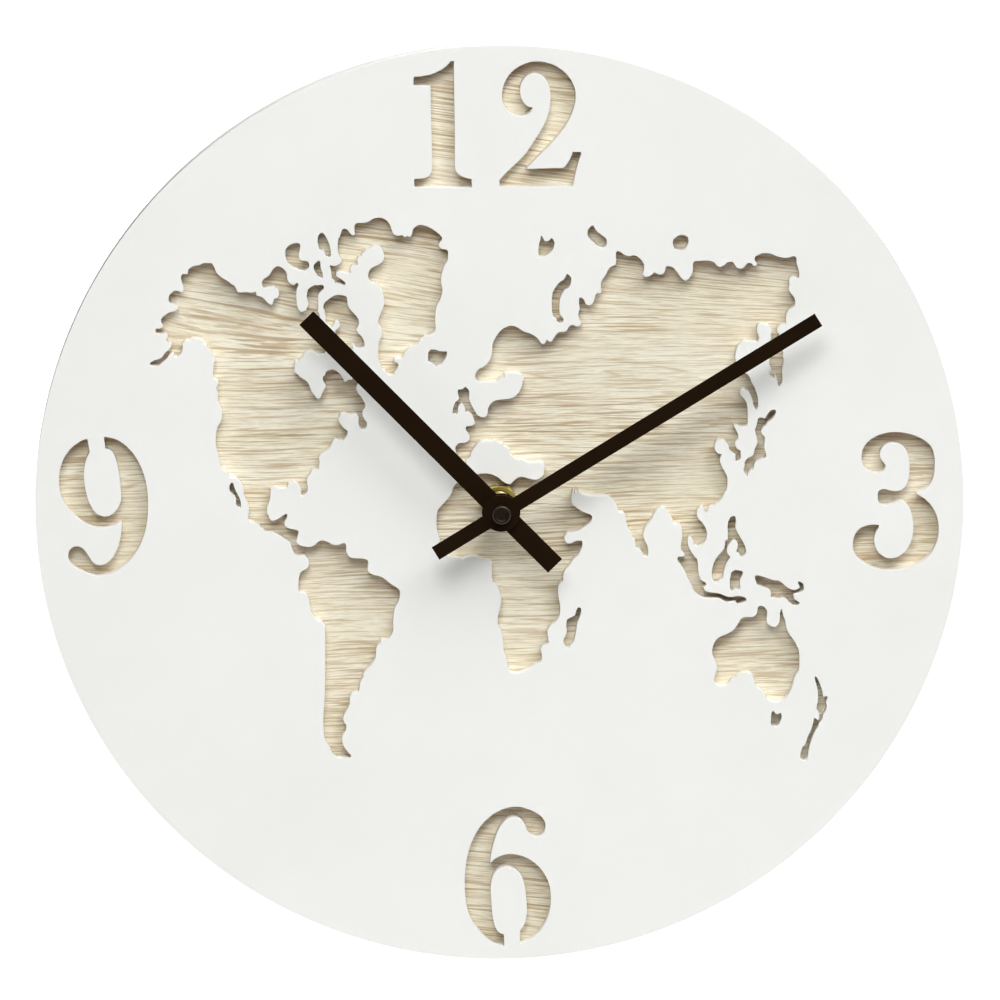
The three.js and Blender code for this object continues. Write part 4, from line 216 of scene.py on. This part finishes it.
def raw_board():
    """Bare fibreboard: rear face of the disc."""
    m, nt, b = new_material("bare_fibreboard")
    co, x, y, z = object_xyz(nt)
    flake = noise(nt, co, 1400.0, 4.0, 0.7)
    cloud = noise(nt, co, 38.0, 3.0, 0.6)
    v = math_node(nt, "MULTIPLY_ADD", math_node(nt, "SUBTRACT", cloud, 0.5), 0.5, flake)
    nt.links.new(ramp(nt, v, [(0.25, lin(132, 100, 66)), (0.5, lin(168, 133, 92)), (0.75, lin(190, 157, 115))]), b.inputs["Base Color"])
    nt.links.new(remap(nt, flake, 0.3, 0.7, 0.72, 0.9), b.inputs["Roughness"])
    b.inputs["Specular IOR Level"].default_value = 0.2
    bump(nt, b, flake, 0.35, 0.00015)
    return m


def dark_paint():
    m, nt, b = new_material("dark_hand_paint")
    co, x, y, z = object_xyz(nt)
    fine = noise(nt, co, 2200.0, 2.0, 0.5)
    broad = noise(nt, co, 60.0, 3.0, 0.5)
    nt.links.new(ramp(nt, broad, [(0.3, (0.0085, 0.0044, 0.0020)), (0.7, (0.0120, 0.0062, 0.0028))]), b.inputs["Base Color"])
    nt.links.new(remap(nt, fine, 0.3, 0.7, 0.46, 0.62), b.inputs["Roughness"])
    b.inputs["Specular IOR Level"].default_value = 0.10
    b.inputs["Specular Tint"].default_value = (1.0, 0.62, 0.32, 1.0)
    bump(nt, b, fine, 0.12, 0.00005)
    return m


def dark_cap(name, dark, light, spec):
    m, nt, b = new_material(name)
    co, x, y, z = object_xyz(nt)
    fine = noise(nt, co, 1800.0, 3.0, 0.55)
    nt.links.new(ramp(nt, fine, [(0.3, dark), (0.7, light)]), b.inputs["Base Color"])
    nt.links.new(remap(nt, fine, 0.3, 0.7, 0.30, 0.46), b.inputs["Roughness"])
    b.inputs["Specular IOR Level"].default_value = spec
    b.inputs["Specular Tint"].default_value = (1.0, 0.80, 0.62, 1.0)
    bump(nt, b, fine, 0.14, 0.00005)
    return m


def metal(name, dark, light, rough, scale=700.0, strength=0.08, stretch=(1, 1, 1)):
    m, nt, b = new_material(name)
    co, x, y, z = object_xyz(nt)
    at = put(nt, "ShaderNodeVectorMath", {0: co, 1: stretch}, operation="MULTIPLY").outputs[0]
    n1 = noise(nt, at, scale, 3.0, 0.6)
    n2 = noise(nt, co, 60.0, 3.0, 0.6)
    v = math_node(nt, "MULTIPLY_ADD", math_node(nt, "SUBTRACT", n2, 0.5), 0.7, n1)
    nt.links.new(ramp(nt, v, [(0.3, dark), (0.7, light)]), b.inputs["Base Color"])
    nt.links.new(remap(nt, v, 0.25, 0.75, rough - 0.08, rough + 0.1), b.inputs["Roughness"])
    b.inputs["Metallic"].default_value = 1.0
    bump(nt, b, n1, strength, 0.00005)
    return m


def plastic(name, dark, light, rough, grain=1500.0, strength=0.18, spec=0.4):
    m, nt, b = new_material(name)
    co, x, y, z = object_xyz(nt)
    g1 = noise(nt, co, grain, 2.0, 0.55)
    g2 = noise(nt, co, 45.0, 3.0, 0.5)
    nt.links.new(ramp(nt, g2, [(0.3, dark), (0.7, light)]), b.inputs["Base Color"])
    nt.links.new(remap(nt, g1, 0.3, 0.7, rough - 0.07, rough + 0.09), b.inputs["Roughness"])
    b.inputs["Specular IOR Level"].default_value = spec
    bump(nt, b, g1, strength, 0.00008)
    return m


def circuit():
    m, nt, b = new_material("circuit_board")
    co, x, y, z = object_xyz(nt)
    brick = put(nt, "ShaderNodeTexBrick", {
        "Vector": put(nt, "ShaderNodeCombineXYZ", {0: x, 1: z, 2: 0.0}).outputs[0], "Scale": 260.0, "Mortar Size": 0.03,
        "Color1": lin(22, 84, 46), "Color2": lin(26, 96, 54), "Mortar": lin(60, 130, 78)})
    nt.links.new(mix(nt, noise(nt, co, 500.0), brick.outputs[0], lin(18, 72, 40)), b.inputs["Base Color"])
    nt.links.new(remap(nt, brick.outputs[1], 0.0, 1.0, 0.45, 0.35), b.inputs["Roughness"])
    bump(nt, b, brick.outputs[1], 0.2, 0.00004)
    return m


def winding():
    m, nt, b = new_material("copper_wire")
    co, x, y, z = object_xyz(nt)
    turns = math_node(nt, "SINE", math_node(nt, "MULTIPLY", x, 2 * math.pi / 0.00022))
    nt.links.new(ramp(nt, math_node(nt, "MULTIPLY_ADD", turns, 0.5, 0.5), [(0.0, lin(120, 52, 20)), (1.0, lin(206, 112, 58))]), b.inputs["Base Color"])
    nt.links.new(remap(nt, noise(nt, co, 400.0), 0.3, 0.7, 0.25, 0.4), b.inputs["Roughness"])
    b.inputs["Metallic"].default_value = 0.9
    bump(nt, b, turns, 0.4, 0.00006)
    return m


def cell_wrap():
    """Plain dark shrink wrap with a copper-coloured band at the positive end."""
    m, nt, b = new_material("cell_wrap")
    co, x, y, z = object_xyz(nt)
    n = noise(nt, co, 300.0, 3.0, 0.5)
    dark = ramp(nt, n, [(0.3, lin(30, 31, 34)), (0.7, lin(40, 41, 45))])
    band = ramp(nt, n, [(0.3, lin(176, 112, 62)), (0.7, lin(196, 130, 76))])
    edge = math_node(nt, "GREATER_THAN", x, 0.0115)
    nt.links.new(mix(nt, edge, dark, band), b.inputs["Base Color"])
    nt.links.new(remap(nt, n, 0.3, 0.7, 0.26, 0.38), b.inputs["Roughness"])
    nt.links.new(math_node(nt, "MULTIPLY", edge, 0.75), b.inputs["Metallic"])
    bump(nt, b, noise(nt, co, 120.0, 2.0, 0.5), 0.06, 0.0001)
    return m


WHITE = white_lacquer()
OAK = oak()
BOARD = raw_board()
HAND = dark_paint()
CAP = dark_cap("dark_cap", (0.0080, 0.0052, 0.0030), (0.0170, 0.0110, 0.0068), 0.16)
# painted highlight: the cap's chamfer ring is coloured lighter than the rest of the cap, standing in for light caught
# on the ring; it is also more specular
CAP_RING_PAINTED_HIGHLIGHT = dark_cap("cap_ring_painted_highlight", (0.034, 0.026, 0.019), (0.050, 0.039, 0.029), 0.5)
BRASS = metal("brass", (0.56, 0.46, 0.17), (0.70, 0.60, 0.27), 0.46)
# painted shade: the nut's brass is a darker copy of the brass above, standing in for the shade it sits in under the hub
# and hands; it is also rougher
ROUGH_BRASS_PAINTED_SHADE = metal("rough_brass_painted_shade", (0.36, 0.29, 0.07), (0.50, 0.42, 0.13), 0.52)
STEEL = metal("sheet_steel", (0.42, 0.43, 0.45), (0.58, 0.59, 0.61), 0.32, stretch=(0.05, 1, 1))
NICKEL = metal("nickel", (0.52, 0.52, 0.54), (0.68, 0.68, 0.69), 0.22, stretch=(1, 1, 0.08))
FERRITE = metal("ferrite", (0.030, 0.030, 0.034), (0.055, 0.055, 0.060), 0.5)
BLACK = plastic("black_plastic", (0.0095, 0.0095, 0.0100), (0.0140, 0.0140, 0.0145), 0.46)
RUBBER = plastic("black_rubber", (0.012, 0.012, 0.012), (0.020, 0.020, 0.020), 0.78, 900.0, 0.25, 0.25)
ACETAL = plastic("natural_acetal", (0.80, 0.78, 0.71), (0.87, 0.85, 0.79), 0.40, 1100.0, 0.08)
YELLOW = plastic("yellow_acetal", (0.70, 0.45, 0.05), (0.82, 0.56, 0.09), 0.40, 1100.0, 0.08)
GREEN = plastic("green_bobbin", (0.018, 0.090, 0.036), (0.026, 0.120, 0.050), 0.42, 1100.0, 0.10)
EPOXY = plastic("epoxy_blob", (0.004, 0.004, 0.004), (0.008, 0.008, 0.008), 0.22, 300.0, 0.10, 0.5)
PCB = circuit()
WIRE = winding()
WRAP = cell_wrap()


# ------------------------------------------------------------------ geometry helpers
def make(name, verts, faces, mats, body, face_mats=None, angle=32.0):
    me = bpy.data.meshes.new(name)
    me.from_pydata([tuple(v) for v in verts], [], faces)
    me.update()
    for m in mats:
        me.materials.append(m)
    if face_mats:
        me.polygons.foreach_set("material_index", face_mats)
    bm = bmesh.new()
    bm.from_mesh(me)
    bmesh.ops.recalc_face_normals(bm, faces=bm.faces)
    bm.to_mesh(me)
    bm.free()
    return finish_mesh(name, me, body, angle)


def finish_mesh(name, me, body, angle=32.0):
    me.polygons.foreach_set("use_smooth", [True] * len(me.polygons))
    me.set_sharp_from_angle(angle=math.radians(angle))
    ob = bpy.data.objects.new(name, me)
    bpy.context.scene.collection.objects.link(ob)
    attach(ob, body)
    return ob


def revolve(name, profile, seg, mats, body, axis="Y", at=(0.0, 0.0), closed=False, mat_of=None, angle=32.0):
    """Turns a profile of (radius, along) in millimetres about a line along Y (at x, z) or X (at y, z)."""
    verts, rows = [], []
    for r, a in profile:
        if r < 1e-6:
            rows.append([len(verts)] * seg)
            verts.append((0.0, a, 0.0))
        else:
            rows.append(list(range(len(verts), len(verts) + seg)))
            for k in range(seg):
                t = 2 * math.pi * k / seg
                verts.append((r * math.cos(t), a, r * math.sin(t)))
    out = []
    for p in verts:
        if axis == "Y":
            out.append(Vector((p[0] + at[0], p[1], p[2] + at[1])) * MM)
        else:
            out.append(Vector((p[1], p[0] + at[0], p[2] + at[1])) * MM)
    faces, fm = [], []
    n = len(profile)
    for i in range(n if closed else n - 1):
        a, b = rows[i], rows[(i + 1) % n]
        for k in range(seg):
            q = [a[k], a[(k + 1) % seg], b[(k + 1) % seg], b[k]]
            q = [v for j, v in enumerate(q) if v not in q[:j]]
            if len(q) >= 3:
                faces.append(q)
                fm.append(mat_of(i) if mat_of else 0)
    return make(name, out, faces, mats, body, fm, angle)


def cap_loops(node):
    """Closed outlines (x, z) of the front face of a flat solid, in metres."""
    me = NODES[node].data
    front = min(v.co.y for v in me.vertices)

    def key(i):
        c = me.vertices[i].co
        return (round(c.x, 6), round(c.z, 6))

    directed = set()
    for p in me.polygons:
        if all(abs(me.vertices[i].co.y - front) < 1e-6 for i in p.vertices):
            ks = [key(i) for i in p.vertices]
            for a, b in zip(ks, ks[1:] + ks[:1]):
                directed.add((a, b))
    follow = {a: b for a, b in sorted(directed) if (b, a) not in directed}
    loops, left = [], set(follow)
    for start in sorted(follow):
        if start not in left:
            continue
        loop, at = [], start
        while at in left:
            left.discard(at)
            loop.append(at)
            at = follow[at]
        loops.append(loop)
    return loops


def smooth_loop(loop, corner_deg, step):
    """Runs a curve through the points of an outline, keeping real corners sharp."""
    pts = [Vector((x, z)) for x, z in loop]
    n = len(pts)
    corner = []
    for i in range(n):
        a, b = pts[i] - pts[i - 1], pts[(i + 1) % n] - pts[i]
        corner.append(abs(math.degrees(a.angle_signed(b, 0.0))) > corner_deg)
    out = []
    for i in range(n):
        p1, p2 = pts[i], pts[(i + 1) % n]
        p0 = 2 * p1 - p2 if corner[i] else pts[i - 1]
        p3 = 2 * p2 - p1 if corner[(i + 1) % n] else pts[(i + 2) % n]
        k = max(1, min(6, round((p2 - p1).length / step)))
        t0 = 0.0
        t1 = t0 + max(1e-6, (p1 - p0).length) ** 0.5
        t2 = t1 + max(1e-6, (p2 - p1).length) ** 0.5
        t3 = t2 + max(1e-6, (p3 - p2).length) ** 0.5
        for j in range(k):
            t = t1 + (t2 - t1) * j / k
            a1 = p0 * ((t1 - t) / (t1 - t0)) + p1 * ((t - t0) / (t1 - t0))
            a2 = p1 * ((t2 - t) / (t2 - t1)) + p2 * ((t - t1) / (t2 - t1))
            a3 = p2 * ((t3 - t) / (t3 - t2)) + p3 * ((t - t2) / (t3 - t2))
            b1 = a1 * ((t2 - t) / (t2 - t0)) + a2 * ((t - t0) / (t2 - t0))
            b2 = a2 * ((t3 - t) / (t3 - t1)) + a3 * ((t - t1) / (t3 - t1))
            out.append(b1 * ((t2 - t) / (t2 - t1)) + b2 * ((t - t1) / (t2 - t1)))
    return [(p.x, p.y) for p in out]


def slab(name, loops, y0, y1, edge, mats, body, angle=40.0):
    """A flat piece from outlines (first or any order, holes found by nesting) with rounded edges, metres."""
    cu = bpy.data.curves.new(name + "_outline", "CURVE")
    cu.dimensions = "2D"
    cu.fill_mode = "BOTH"
    cu.extrude = (y1 - y0) / 2 - edge
    cu.bevel_depth = edge
    cu.bevel_resolution = 2
    cu.offset = -edge
    for loop in loops:
        sp = cu.splines.new("POLY")
        sp.points.add(len(loop) - 1)
        flat = []
        for x, z in loop:
            flat += [x, z, 0.0, 1.0]
        sp.points.foreach_set("co", flat)
        sp.use_cyclic_u = True
    tmp = bpy.data.objects.new(name + "_outline", cu)
    bpy.context.scene.collection.objects.link(tmp)
    bpy.context.view_layer.update()
    me = bpy.data.meshes.new_from_object(tmp.evaluated_get(bpy.context.evaluated_depsgraph_get()))
    bpy.data.objects.remove(tmp)
    bpy.data.curves.remove(cu)
    me.name = name
    me.transform(Matrix.Translation((0, (y0 + y1) / 2, 0)) @ Matrix.Rotation(math.pi / 2, 4, "X"))
    bm = bmesh.new()
    bm.from_mesh(me)
    bmesh.ops.remove_doubles(bm, verts=bm.verts, dist=2e-6)
    bmesh.ops.recalc_face_normals(bm, faces=bm.faces)
    bm.to_mesh(me)
    bm.free()
    me.materials.clear()
    for m in mats:
        me.materials.append(m)
    ob = finish_mesh(name, me, body, angle)
    # the two flat faces are shaded flat: their borders are kept sharp
    bm = bmesh.new()
    bm.from_mesh(me)
    bm.normal_update()
    for e in bm.edges:
        if len(e.link_faces) == 2 and (abs(e.link_faces[0].normal.y) > 0.999) != (abs(e.link_faces[1].normal.y) > 0.999):
            e.smooth = False
    bm.to_mesh(me)
    bm.free()
    return ob


def dress(node, mat, edge=None, segments=2, angle=38.0):
    """A solid kept as it is: its finish, and where asked a small moulded edge radius."""
    ob = NODES[node]
    ob.data.materials.clear()
    ob.data.materials.append(mat)
    if edge:
        w = ob.modifiers.new("merge", "WELD")
        w.merge_threshold = 2e-6
        b = ob.modifiers.new("edges", "BEVEL")
        b.width = edge
        b.segments = segments
        b.limit_method = "ANGLE"
        b.angle_limit = math.radians(angle)
        b.use_clamp_overlap = True
    return ob


# ------------------------------------------------------------------ dial
lo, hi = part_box("front_plate")
R_DISC = (hi.x - lo.x) / 2
loops = cap_loops("front_plate")
outer = max(loops, key=lambda l: max(abs(p[0]) for p in l))
cuts = [smooth_loop(l, 40.0, 0.0004) for l in loops if l is not outer]
rim = [(R_DISC * math.cos(2 * math.pi * k / 480), R_DISC * math.sin(2 * math.pi * k / 480)) for k in range(480)]
plate = slab("map_disc", [rim] + cuts, lo.y, hi.y, 0.00007, [WHITE], "clock_body")
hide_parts("front_plate")

lo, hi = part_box("back_plate")
rb, yf, yr = (hi.x - lo.x) / 2 / MM, lo.y / MM, hi.y / MM
e = 0.2
disc = revolve("oak_disc", [
    (4.2, yf), (60.0, yf), (rb - e, yf), (rb - 0.06, yf + 0.06), (rb, yf + e), (rb, yr - e), (rb - 0.06, yr - 0.06), (rb - e, yr), (60.0, yr), (4.2, yr),
], 360, [OAK, WHITE, BOARD], "clock_body", closed=True,
    mat_of=lambda i: 0 if i < 2 else (1 if i < 7 else 2))
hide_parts("back_plate")

# ------------------------------------------------------------------ fixings
lo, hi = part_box("hex_nut")
ap, ny0, ny1 = (hi.z - lo.z) / 2 / MM, lo.y / MM, hi.y / MM
verts, faces = [], []
cols = 96
flat_r = ap - 0.15
for k in range(cols):
    t = 2 * math.pi * k / cols
    f = (t + math.pi / 6) % (math.pi / 3) - math.pi / 6        # angle from the nearest corner, corners on +-X
    rho = ap / math.cos(math.pi / 6 - abs(f))
    drop = (rho - flat_r) * math.tan(math.radians(30))
    for r, y in ((4.0, ny0 + 0.35), (4.35, ny0), (flat_r, ny0), (rho, ny0 + drop), (rho, ny1 - drop), (flat_r, ny1), (4.35, ny1), (4.0, ny1 - 0.35)):
        verts.append(Vector((r * math.cos(t), y, r * math.sin(t))) * MM)
for k in range(cols):
    a, b = 8 * k, 8 * ((k + 1) % cols)
    for j in range(8):
        j2 = (j + 1) % 8
        faces.append([a + j, a + j2, b + j2, b + j])
# the nut takes the darker brass, painted shade
nut = make("nut_with_chamfers", verts, faces, [ROUGH_BRASS_PAINTED_SHADE], "clock_body", angle=24)
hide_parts("hex_nut")

lo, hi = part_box("threaded_bush")
by0 = lo.y / MM
cols, pitch, depth = 60, 0.75, 0.42
y_list = [by0 + 0.02 + 0.0938 * k for k in range(int((-15.0 - by0) / 0.0938))]
verts, faces = [], []
rows = []


def ring_row(radius_of, y):
    row = []
    for k in range(cols):
        t = 2 * math.pi * k / cols
        row.append(len(verts))
        r = radius_of(k)
        verts.append(Vector((r * math.cos(t), y, r * math.sin(t))) * MM)
    rows.append(row)


ring_row(lambda k: 2.9, by0)
ring_row(lambda k: 3.35, by0)
for y in y_list:
    lead = min(1.0, (y - by0) / 0.6)

    def thread(k, y=y, lead=lead):
        s = ((y - by0) / pitch + k / cols) % 1.0
        tri = 1 - abs(2 * s - 1)
        return 3.9 - depth + depth * min(1.0, tri * 1.35) - (1 - lead) * 0.35
    ring_row(thread, y)
for r, y in ((3.9, -14.6), (5.0, -14.5), (5.2, -14.4), (5.2, -13.95), (5.1, -13.9), (2.9, -13.9)):
    ring_row(lambda k, r=r: r, y)
for i in range(len(rows)):
    a, b = rows[i], rows[(i + 1) % len(rows)]
    for k in range(cols):
        faces.append([a[k], a[(k + 1) % cols], b[(k + 1) % cols], b[k]])
bush = make("bush_with_thread", verts, faces, [BRASS], "clock_body", angle=28)
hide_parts("threaded_bush")

lo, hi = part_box("dial_washer")
w0, w1, wr = lo.y / MM, hi.y / MM, hi.x / MM
washer = revolve("washer", [(4.25, w0), (wr - 0.1, w0), (wr - 0.02, w0 + 0.04), (wr, w0 + 0.12), (wr, w1 - 0.08), (wr - 0.08, w1), (4.25, w1)], 72,
                 [BRASS], "clock_body", closed=True)
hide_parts("dial_washer")

lo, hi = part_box("rubber_gasket")
g0, g1, gr = lo.y / MM, hi.y / MM, hi.x / MM
gasket = revolve("gasket", [(4.6, g0), (gr - 0.3, g0), (gr - 0.05, g0 + 0.12), (gr, g0 + 0.3), (gr, g1 - 0.3), (gr - 0.05, g1 - 0.12), (gr - 0.3, g1), (4.6, g1)],
                 96, [RUBBER], "clock_body", closed=True)
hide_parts("rubber_gasket")

# ------------------------------------------------------------------ hands
for node, body in (("hour_hand", "hour_body"), ("minute_hand", "minute_body")):
    lo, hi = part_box(node)
    ob = slab(node + "_blade", [smooth_loop(l, 24.0, 0.0005) for l in cap_loops(node)], lo.y, hi.y, 0.00010, [HAND], body)
    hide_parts(node)

lo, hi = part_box("hour_hand_collet")
c0, c1 = lo.y / MM, hi.y / MM
ob = revolve("hour_collet", [(2.8, c0), (3.7, c0), (3.8, c0 + 0.1), (3.8, c1 - 0.5), (3.45, c1 - 0.15), (3.3, c1), (2.8, c1)], 64, [HAND], "hour_body", closed=True)
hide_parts("hour_hand_collet")
lo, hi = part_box("minute_hand_collet")
c0, c1 = lo.y / MM, hi.y / MM
ob = revolve("minute_collet", [(2.0, c0), (3.3, c0), (3.4, c0 + 0.1), (3.4, c1 - 0.2), (3.2, c1), (2.0, c1)], 64, [HAND], "minute_body", closed=True)
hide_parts("minute_hand_collet")
lo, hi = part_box("centre_cap")
c0, c1, cr = lo.y / MM, hi.y / MM, hi.x / MM
# the chamfer ring (profile segment 7) takes the painted-highlight material
ob = revolve("cap", [
    (0.0, c0 + 0.36), (1.55, c0 + 0.36), (1.78, c0 + 0.32), (1.95, c0 + 0.16), (2.08, c0 + 0.05), (2.24, c0), (cr - 0.42, c0), (cr - 0.36, c0 + 0.03), (cr - 0.06, c0 + 0.33),
    (cr, c0 + 0.40), (cr, c1 - 0.25), (cr - 0.12, c1), (2.0, c1), (2.0, c0 + 1.2), (0.0, c0 + 1.2),
], 96, [CAP, CAP_RING_PAINTED_HIGHLIGHT], "minute_body", mat_of=lambda i: 1 if i == 7 else 0, angle=50)
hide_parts("centre_cap")

# ------------------------------------------------------------------ movement
dress("movement_case", BLACK, 0.00025)
dress("rear_cover", BLACK, 0.00022)
dress("setting_knob", ACETAL, 0.00012)
dress("negative_contact", NICKEL)
dress("positive_contact", NICKEL)
for node, mat in (("train_bridge", ACETAL), ("minute_arbor", BRASS), ("motion_wheel", ACETAL), ("hour_wheel", YELLOW),
                  ("centre_gear", ACETAL), ("third_wheel", ACETAL), ("second_wheel", ACETAL), ("intermediate_wheel", ACETAL),
                  ("rotor_pinion", ACETAL), ("rotor_magnet", FERRITE), ("stator", STEEL), ("coil_core", STEEL),
                  ("coil_bobbin", GREEN), ("coil_winding", WIRE), ("circuit_board", PCB), ("control_chip", EPOXY), ("quartz_crystal", NICKEL)):
    dress(node, mat)

# battery: wrapped can with crimped ends
lo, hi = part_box("aa_battery")
x0, x1 = lo.x / MM, hi.x / MM
cy, cz = (lo.y + hi.y) / 2 / MM, (lo.z + hi.z) / 2 / MM
rc = (hi.y - lo.y) / 2 / MM
body_end = x1 - 1.1
prof = [(0.0, x0 + 0.25), (4.4, x0 + 0.25), (4.7, x0 + 0.02), (5.6, x0), (5.75, x0 + 0.3), (6.0, x0 + 0.3), (6.55, x0 + 0.02), (6.85, x0 + 0.15), (rc, x0 + 0.55),
        (rc, x0 + 12.0), (rc, 11.5), (rc, body_end - 0.6), (6.85, body_end - 0.15), (6.5, body_end), (5.9, body_end), (5.7, body_end - 0.35),
        (3.1, body_end - 0.35), (2.85, body_end - 0.2), (2.75, body_end + 0.1), (2.75, x1 - 0.3), (2.6, x1 - 0.06), (2.3, x1), (0.0, x1)]
ob = revolve("cell", prof, 72, [WRAP, NICKEL], "battery_body", axis="X", at=(cy, cz),
             mat_of=lambda i: 1 if i < 5 or i > 14 else 0)
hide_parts("aa_battery")

# ------------------------------------------------------------------ stage, light, camera
me = bpy.data.meshes.new("floor")
S = 60.0
me.from_pydata([(-S, -S, -0.42), (S, -S, -0.42), (S, S, -0.42), (-S, S, -0.42)], [], [(0, 1, 2, 3)])
floor = bpy.data.objects.new("floor", me)
bpy.context.scene.collection.objects.link(floor)
fm, nt, b = new_material("pale_floor")
b.inputs["Base Color"].default_value = (0.78, 0.78, 0.78, 1)
b.inputs["Roughness"].default_value = 0.9
b.inputs["Specular IOR Level"].default_value = 0.1
me.materials.append(fm)

world = bpy.data.worlds.new("studio")
bpy.context.scene.world = world
world.use_nodes = True
wt = world.node_tree
sky = put(wt, "ShaderNodeSeparateXYZ", {0: put(wt, "ShaderNodeTexCoord").outputs["Generated"]})
# a bright ceiling, dimmer toward the horizon
wt.links.new(ramp(wt, smooth_remap(wt, sky.outputs[2], -0.1, 1.0, 0.0, 1.0), [(0.0, (0.12, 0.12, 0.12)), (0.35, (0.30, 0.30, 0.30)), (1.0, (1.0, 1.0, 1.0))]),
             wt.nodes["Background"].inputs[0])
wt.nodes["Background"].inputs[1].default_value = 0.11


def area(name, direction, aim, distance, size, power, spread=180.0):
    light = bpy.data.lights.new(name, "AREA")
    light.shape = "DISK"
    light.size = size
    light.energy = power
    light.spread = math.radians(spread)
    ob = bpy.data.objects.new(name, light)
    d = Vector(direction).normalized()
    ob.location = Vector(aim) + d * distance
    ob.rotation_euler = (-d).to_track_quat("-Z", "Y").to_euler()
    bpy.context.scene.collection.objects.link(ob)


area("key", (-0.12, -1.0, 0.72), (0.0, 0.0, 0.0), 2.6, 1.25, 2.66, 42.0)
area("top", (0.54, -0.71, 1.10), (0.0, 0.0, 0.0), 2.6, 2.0, 9.7, 66.0)
area("rear", (0.45, 1.0, 0.75), (0.0, 0.0, 0.0), 2.6, 1.4, 4.0, 60.0)
area("floor_light", (0.0, 0.15, 1.0), (0.0, 2.6, -0.42), 2.1, 3.2, 62.0, 100.0)

cam_data = bpy.data.cameras.new("camera")
cam = bpy.data.objects.new("camera", cam_data)
bpy.context.scene.collection.objects.link(cam)
bpy.context.scene.camera = cam
ELEV, AZ, ROLL, DIST = math.radians(10.5), math.radians(-1.6), math.radians(0.8), 6.0
PX = 3.095                                    # picture points per millimetre
back = Vector((math.sin(AZ) * math.cos(ELEV), -math.cos(AZ) * math.cos(ELEV), math.sin(ELEV)))
right = back.cross(Vector((0, 0, 1))) * -1
right.normalize()
up = back.cross(right)
up_r = up * math.cos(ROLL) + right * math.sin(ROLL)
right_r = right * math.cos(ROLL) - up * math.sin(ROLL)
target = Vector((0, -0.022, 0)) + right_r * (0.46 / PX * MM) + up_r * (2.5 / PX * MM)
cam.matrix_world = Matrix((
    (right_r.x, up_r.x, back.x, 0), (right_r.y, up_r.y, back.y, 0), (right_r.z, up_r.z, back.z, 0), (0, 0, 0, 1)))
cam.matrix_world.translation = target + back * DIST
cam_data.sensor_width = 36.0
cam_data.lens = 36.0 * DIST / (1000.0 / PX * MM)
cam_data.clip_start = 0.1
cam_data.clip_end = 200.0
bpy.context.scene.view_settings.view_transform = "Standard"
